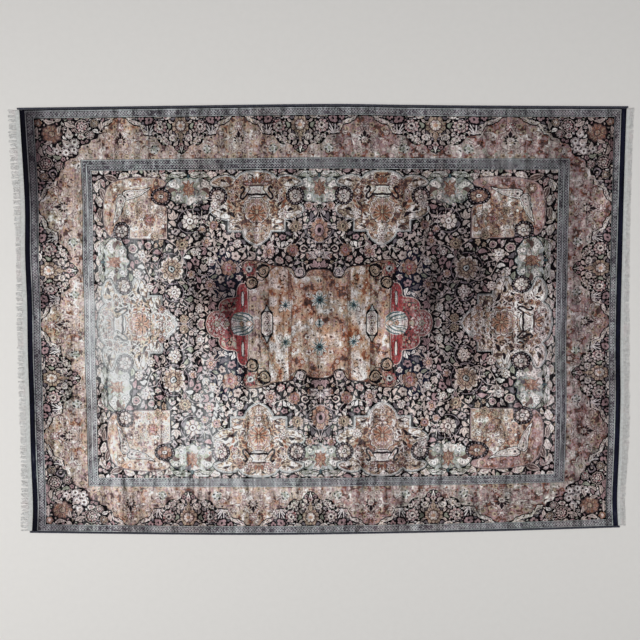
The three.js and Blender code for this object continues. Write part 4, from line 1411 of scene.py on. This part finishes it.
def fringeTree(material):
    tree, ports = newTree("warp_ends", ("Yarn", "Float"), ("Waviness", "Float"), ("Steps", "Int"))
    node = tree.nodes.new
    start, end = node("NodeGroupInput"), node("NodeGroupOutput")
    strand, fine = node("GeometryNodeCurvePrimitiveLine"), node("GeometryNodeResampleCurve")
    section, sweep = node("GeometryNodeCurvePrimitiveCircle"), node("GeometryNodeCurveToMesh")
    preset(strand, End=(1, 0, 0))
    preset(section, Resolution=fringe["sides"])
    preset(sweep, Fill_Caps=True)
    place, real = node("GeometryNodeInstanceOnPoints"), node("GeometryNodeRealizeInstances")
    angles, scales = named(tree, "strandAngles"), named(tree, "strandScale")
    # each strand wanders more the further it is from its root
    bend, field = node("GeometryNodeSetPosition"), node("ShaderNodeTexNoise")
    centre = node("ShaderNodeVectorMath")
    field.noise_dimensions = "4D"
    preset(field, Scale=fringe["waveScale"], Detail=1)
    number = named(tree, "strandNumber", "FLOAT")
    wander, level = node("ShaderNodeVectorMath"), node("ShaderNodeVectorMath")
    far, root = node("GeometryNodeInputPosition"), named(tree, "strandRoot")
    span, share = node("ShaderNodeVectorMath"), node("ShaderNodeMath")
    for step, operation in ((centre, "SUBTRACT"), (wander, "SCALE"), (level, "MULTIPLY"),
                            (span, "DISTANCE"), (share, "MULTIPLY")):
        step.operation = operation
    centre.inputs[1].default_value = (.5, .5, .5)
    level.inputs[1].default_value = fringe["waveShares"]
    paint = node("GeometryNodeSetMaterial")
    preset(paint, Material=material)
    join(tree, (strand, "Curve", fine, "Curve"), (start, "Steps", fine, "Count"),
         (start, "Yarn", section, "Radius"), (fine, "Curve", sweep, "Curve"),
         (section, "Curve", sweep, "Profile Curve"), (start, "Geometry", place, "Points"),
         (sweep, "Mesh", place, "Instance"), (angles, "Attribute", place, "Rotation"),
         (scales, "Attribute", place, "Scale"), (place, "Instances", real, "Geometry"),
         (number, "Attribute", field, "W"), (field, "Color", centre, 0), (centre, "Vector", wander, 0),
         (far, "Position", span, 0), (root, "Attribute", span, 1), (span, "Value", share, 0),
         (start, "Waviness", share, 1), (share, "Value", wander, "Scale"), (wander, "Vector", level, 0),
         (level, "Vector", bend, "Offset"), (real, "Geometry", bend, "Geometry"),
         (bend, "Geometry", paint, "Geometry"), (paint, "Geometry", end, "Geometry"))
    return tree, ports


def makeFringe(side, tree, ports, seed):
    rng = random.Random(seed)
    roots, angles, scales, numbers = [], [], [], []
    locks = round(2 * pileHalfWidth / fringe["pitch"])
    aside, apart, turn = fringe["lockStray"], fringe["strandStray"], fringe["strandTurn"]
    for lock in range(locks):
        y = -pileHalfWidth + (lock + .5 + rng.uniform(-aside, aside)) * 2 * pileHalfWidth / locks
        edge = endX(side, y) + toward[side] * (rugSize["seam"] + webSize[side] - fringe["tuck"])
        long = lockLengthAt[side](y) * rng.uniform(*fringe["lockLength"])
        lean = math.radians(rng.gauss(*fringe["lean"])) * toward[side]
        for strand in range(fringe["yarnsPerLock"]):
            share = strand / (fringe["yarnsPerLock"] - 1) * 2 - 1
            across = share * fringe["bunch"] + rng.uniform(-apart, apart)
            height = fringe["yarn"] + fringe["clear"] + (1 - abs(share)) * rng.uniform(*fringe["heap"])
            roots.append((edge + toward[side] * rng.uniform(0, fringe["rootDepth"]), y + across, height))
            aim = lean + math.radians(share * fringe["splay"] + rng.uniform(-turn, turn))
            dip = math.atan2(height - fringe["yarn"] - .25, long)
            angles.append((0, dip, aim if toward[side] > 0 else math.pi + aim))
            scales.append((long * rng.uniform(*fringe["strandLength"]) * mm, 1, 1))
            numbers.append(lock * fringe["lockWave"] + strand * fringe["strandWave"])
    roots = np.array(roots)
    points = placed(roots[:, 0], roots[:, 1], roots[:, 2])
    columns = {"strandAngles": np.array(angles), "strandScale": np.array(scales),
               "strandNumber": np.array(numbers), "strandRoot": points}
    sizes = {"Yarn": fringe["yarn"] * mm, "Waviness": fringe["waviness"], "Steps": fringe["steps"]}
    return grown("fringe_" + side, points, columns, tree, ports, sizes)


print("painting the knot chart")
chart = paintRug().ink
materials = dict(silk=silkPile(), navy=navyWool(),
                 web=creamWarp("woven_web", "#d4d6d3", "#acaca8", "#cac6c2"), ends=creamWarp("warp_fringe"))
print("making the pile")
pile = keep("knotted_pile", makePile(chart), materials["silk"])
print("making the edges")
turns, turnPorts = wrapTree(materials["navy"])
edges = {side: keep("overcast_" + side, makeSelvedge(side, sign, turns, turnPorts), materials["navy"]) for side, sign in (("far", 1), ("near", -1))}
print("making the ends")
ends, endPorts = fringeTree(materials["ends"])
webs = {side: keep("web_" + side, makeWeb(side), materials["web"]) for side in toward}
locks = {side: keep("fringe_" + side, makeFringe(side, ends, endPorts, seed), materials["ends"])
         for side, seed in (("left", 3), ("right", 4))}

for piece in (pile, *edges.values(), *webs.values(), *locks.values()):
    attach(piece, "root")
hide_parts("pile_body")
for side, edge in edges.items():
    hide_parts("selvedge_" + side)
for side, web in webs.items():
    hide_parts("fringed_web_" + side)
    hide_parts("fringed_web_" + side)

# a plain pale floor, just under the rug
floorSize = dict(half=6.0, drop=.0004)
floorMesh = bpy.data.meshes.new("floor")
corners = [(x * floorSize["half"], y * floorSize["half"], -floorSize["drop"])
           for x, y in ((-1, -1), (1, -1), (1, 1), (-1, 1))]
floorMesh.from_pydata(corners, [], [(0, 1, 2, 3)])
floor = bpy.data.objects.new("floor", floorMesh)
bpy.context.scene.collection.objects.link(floor)
floorLook = Recipe("pale_floor")
grain = floorLook.noise(floorLook.spot(), 40, 3)
paleness = floorLook.mixed(grain, hexColour("#d9d6d1"), hexColour("#dedbd6"))
floorMesh.materials.append(floorLook.finish(paleness, .7 + grain * .1, grain, .0002, .2))

# the photograph's view: nearly straight down from the middle
view = dict(lens=35, sensor=36, place=(-.046, .141, 2.502), turnDegrees=(-3.007, -.574, -.311))
camera = bpy.data.objects.new("camera", bpy.data.cameras.new("camera"))
camera.data.lens = view["lens"]
camera.data.sensor_width = view["sensor"]
camera.data.clip_end = 60
camera.location = (view["place"][0] + shiftX, view["place"][1] + shiftY, view["place"][2])
camera.rotation_euler = [math.radians(turn) for turn in view["turnDegrees"]]
bpy.context.scene.collection.objects.link(camera)
bpy.context.scene.camera = camera

# soft studio light, stronger from the left
sky = dict(colour=(.9, .93, 1, 1), strength=.25)
lamps = dict(key=((-3.0, -.6, 3.4), 2.4, 100), fill=((2.8, -.4, 3.2), 3.0, 46), top=((0, 0, 4.5), 4.0, 52))
for name, (place, size, power) in lamps.items():
    lamp = bpy.data.lights.new(name, "AREA")
    lamp.size = size
    lamp.energy = power
    holder = bpy.data.objects.new(name, lamp)
    holder.location = place
    holder.rotation_euler = (-Vector(place)).to_track_quat("-Z", "Y").to_euler()
    bpy.context.scene.collection.objects.link(holder)
world = bpy.data.worlds.new("studio")
world.use_nodes = True
preset(world.node_tree.nodes["Background"], Color=sky["colour"], Strength=sky["strength"])
bpy.context.scene.world = world
bpy.context.scene.view_settings.view_transform = "Standard"
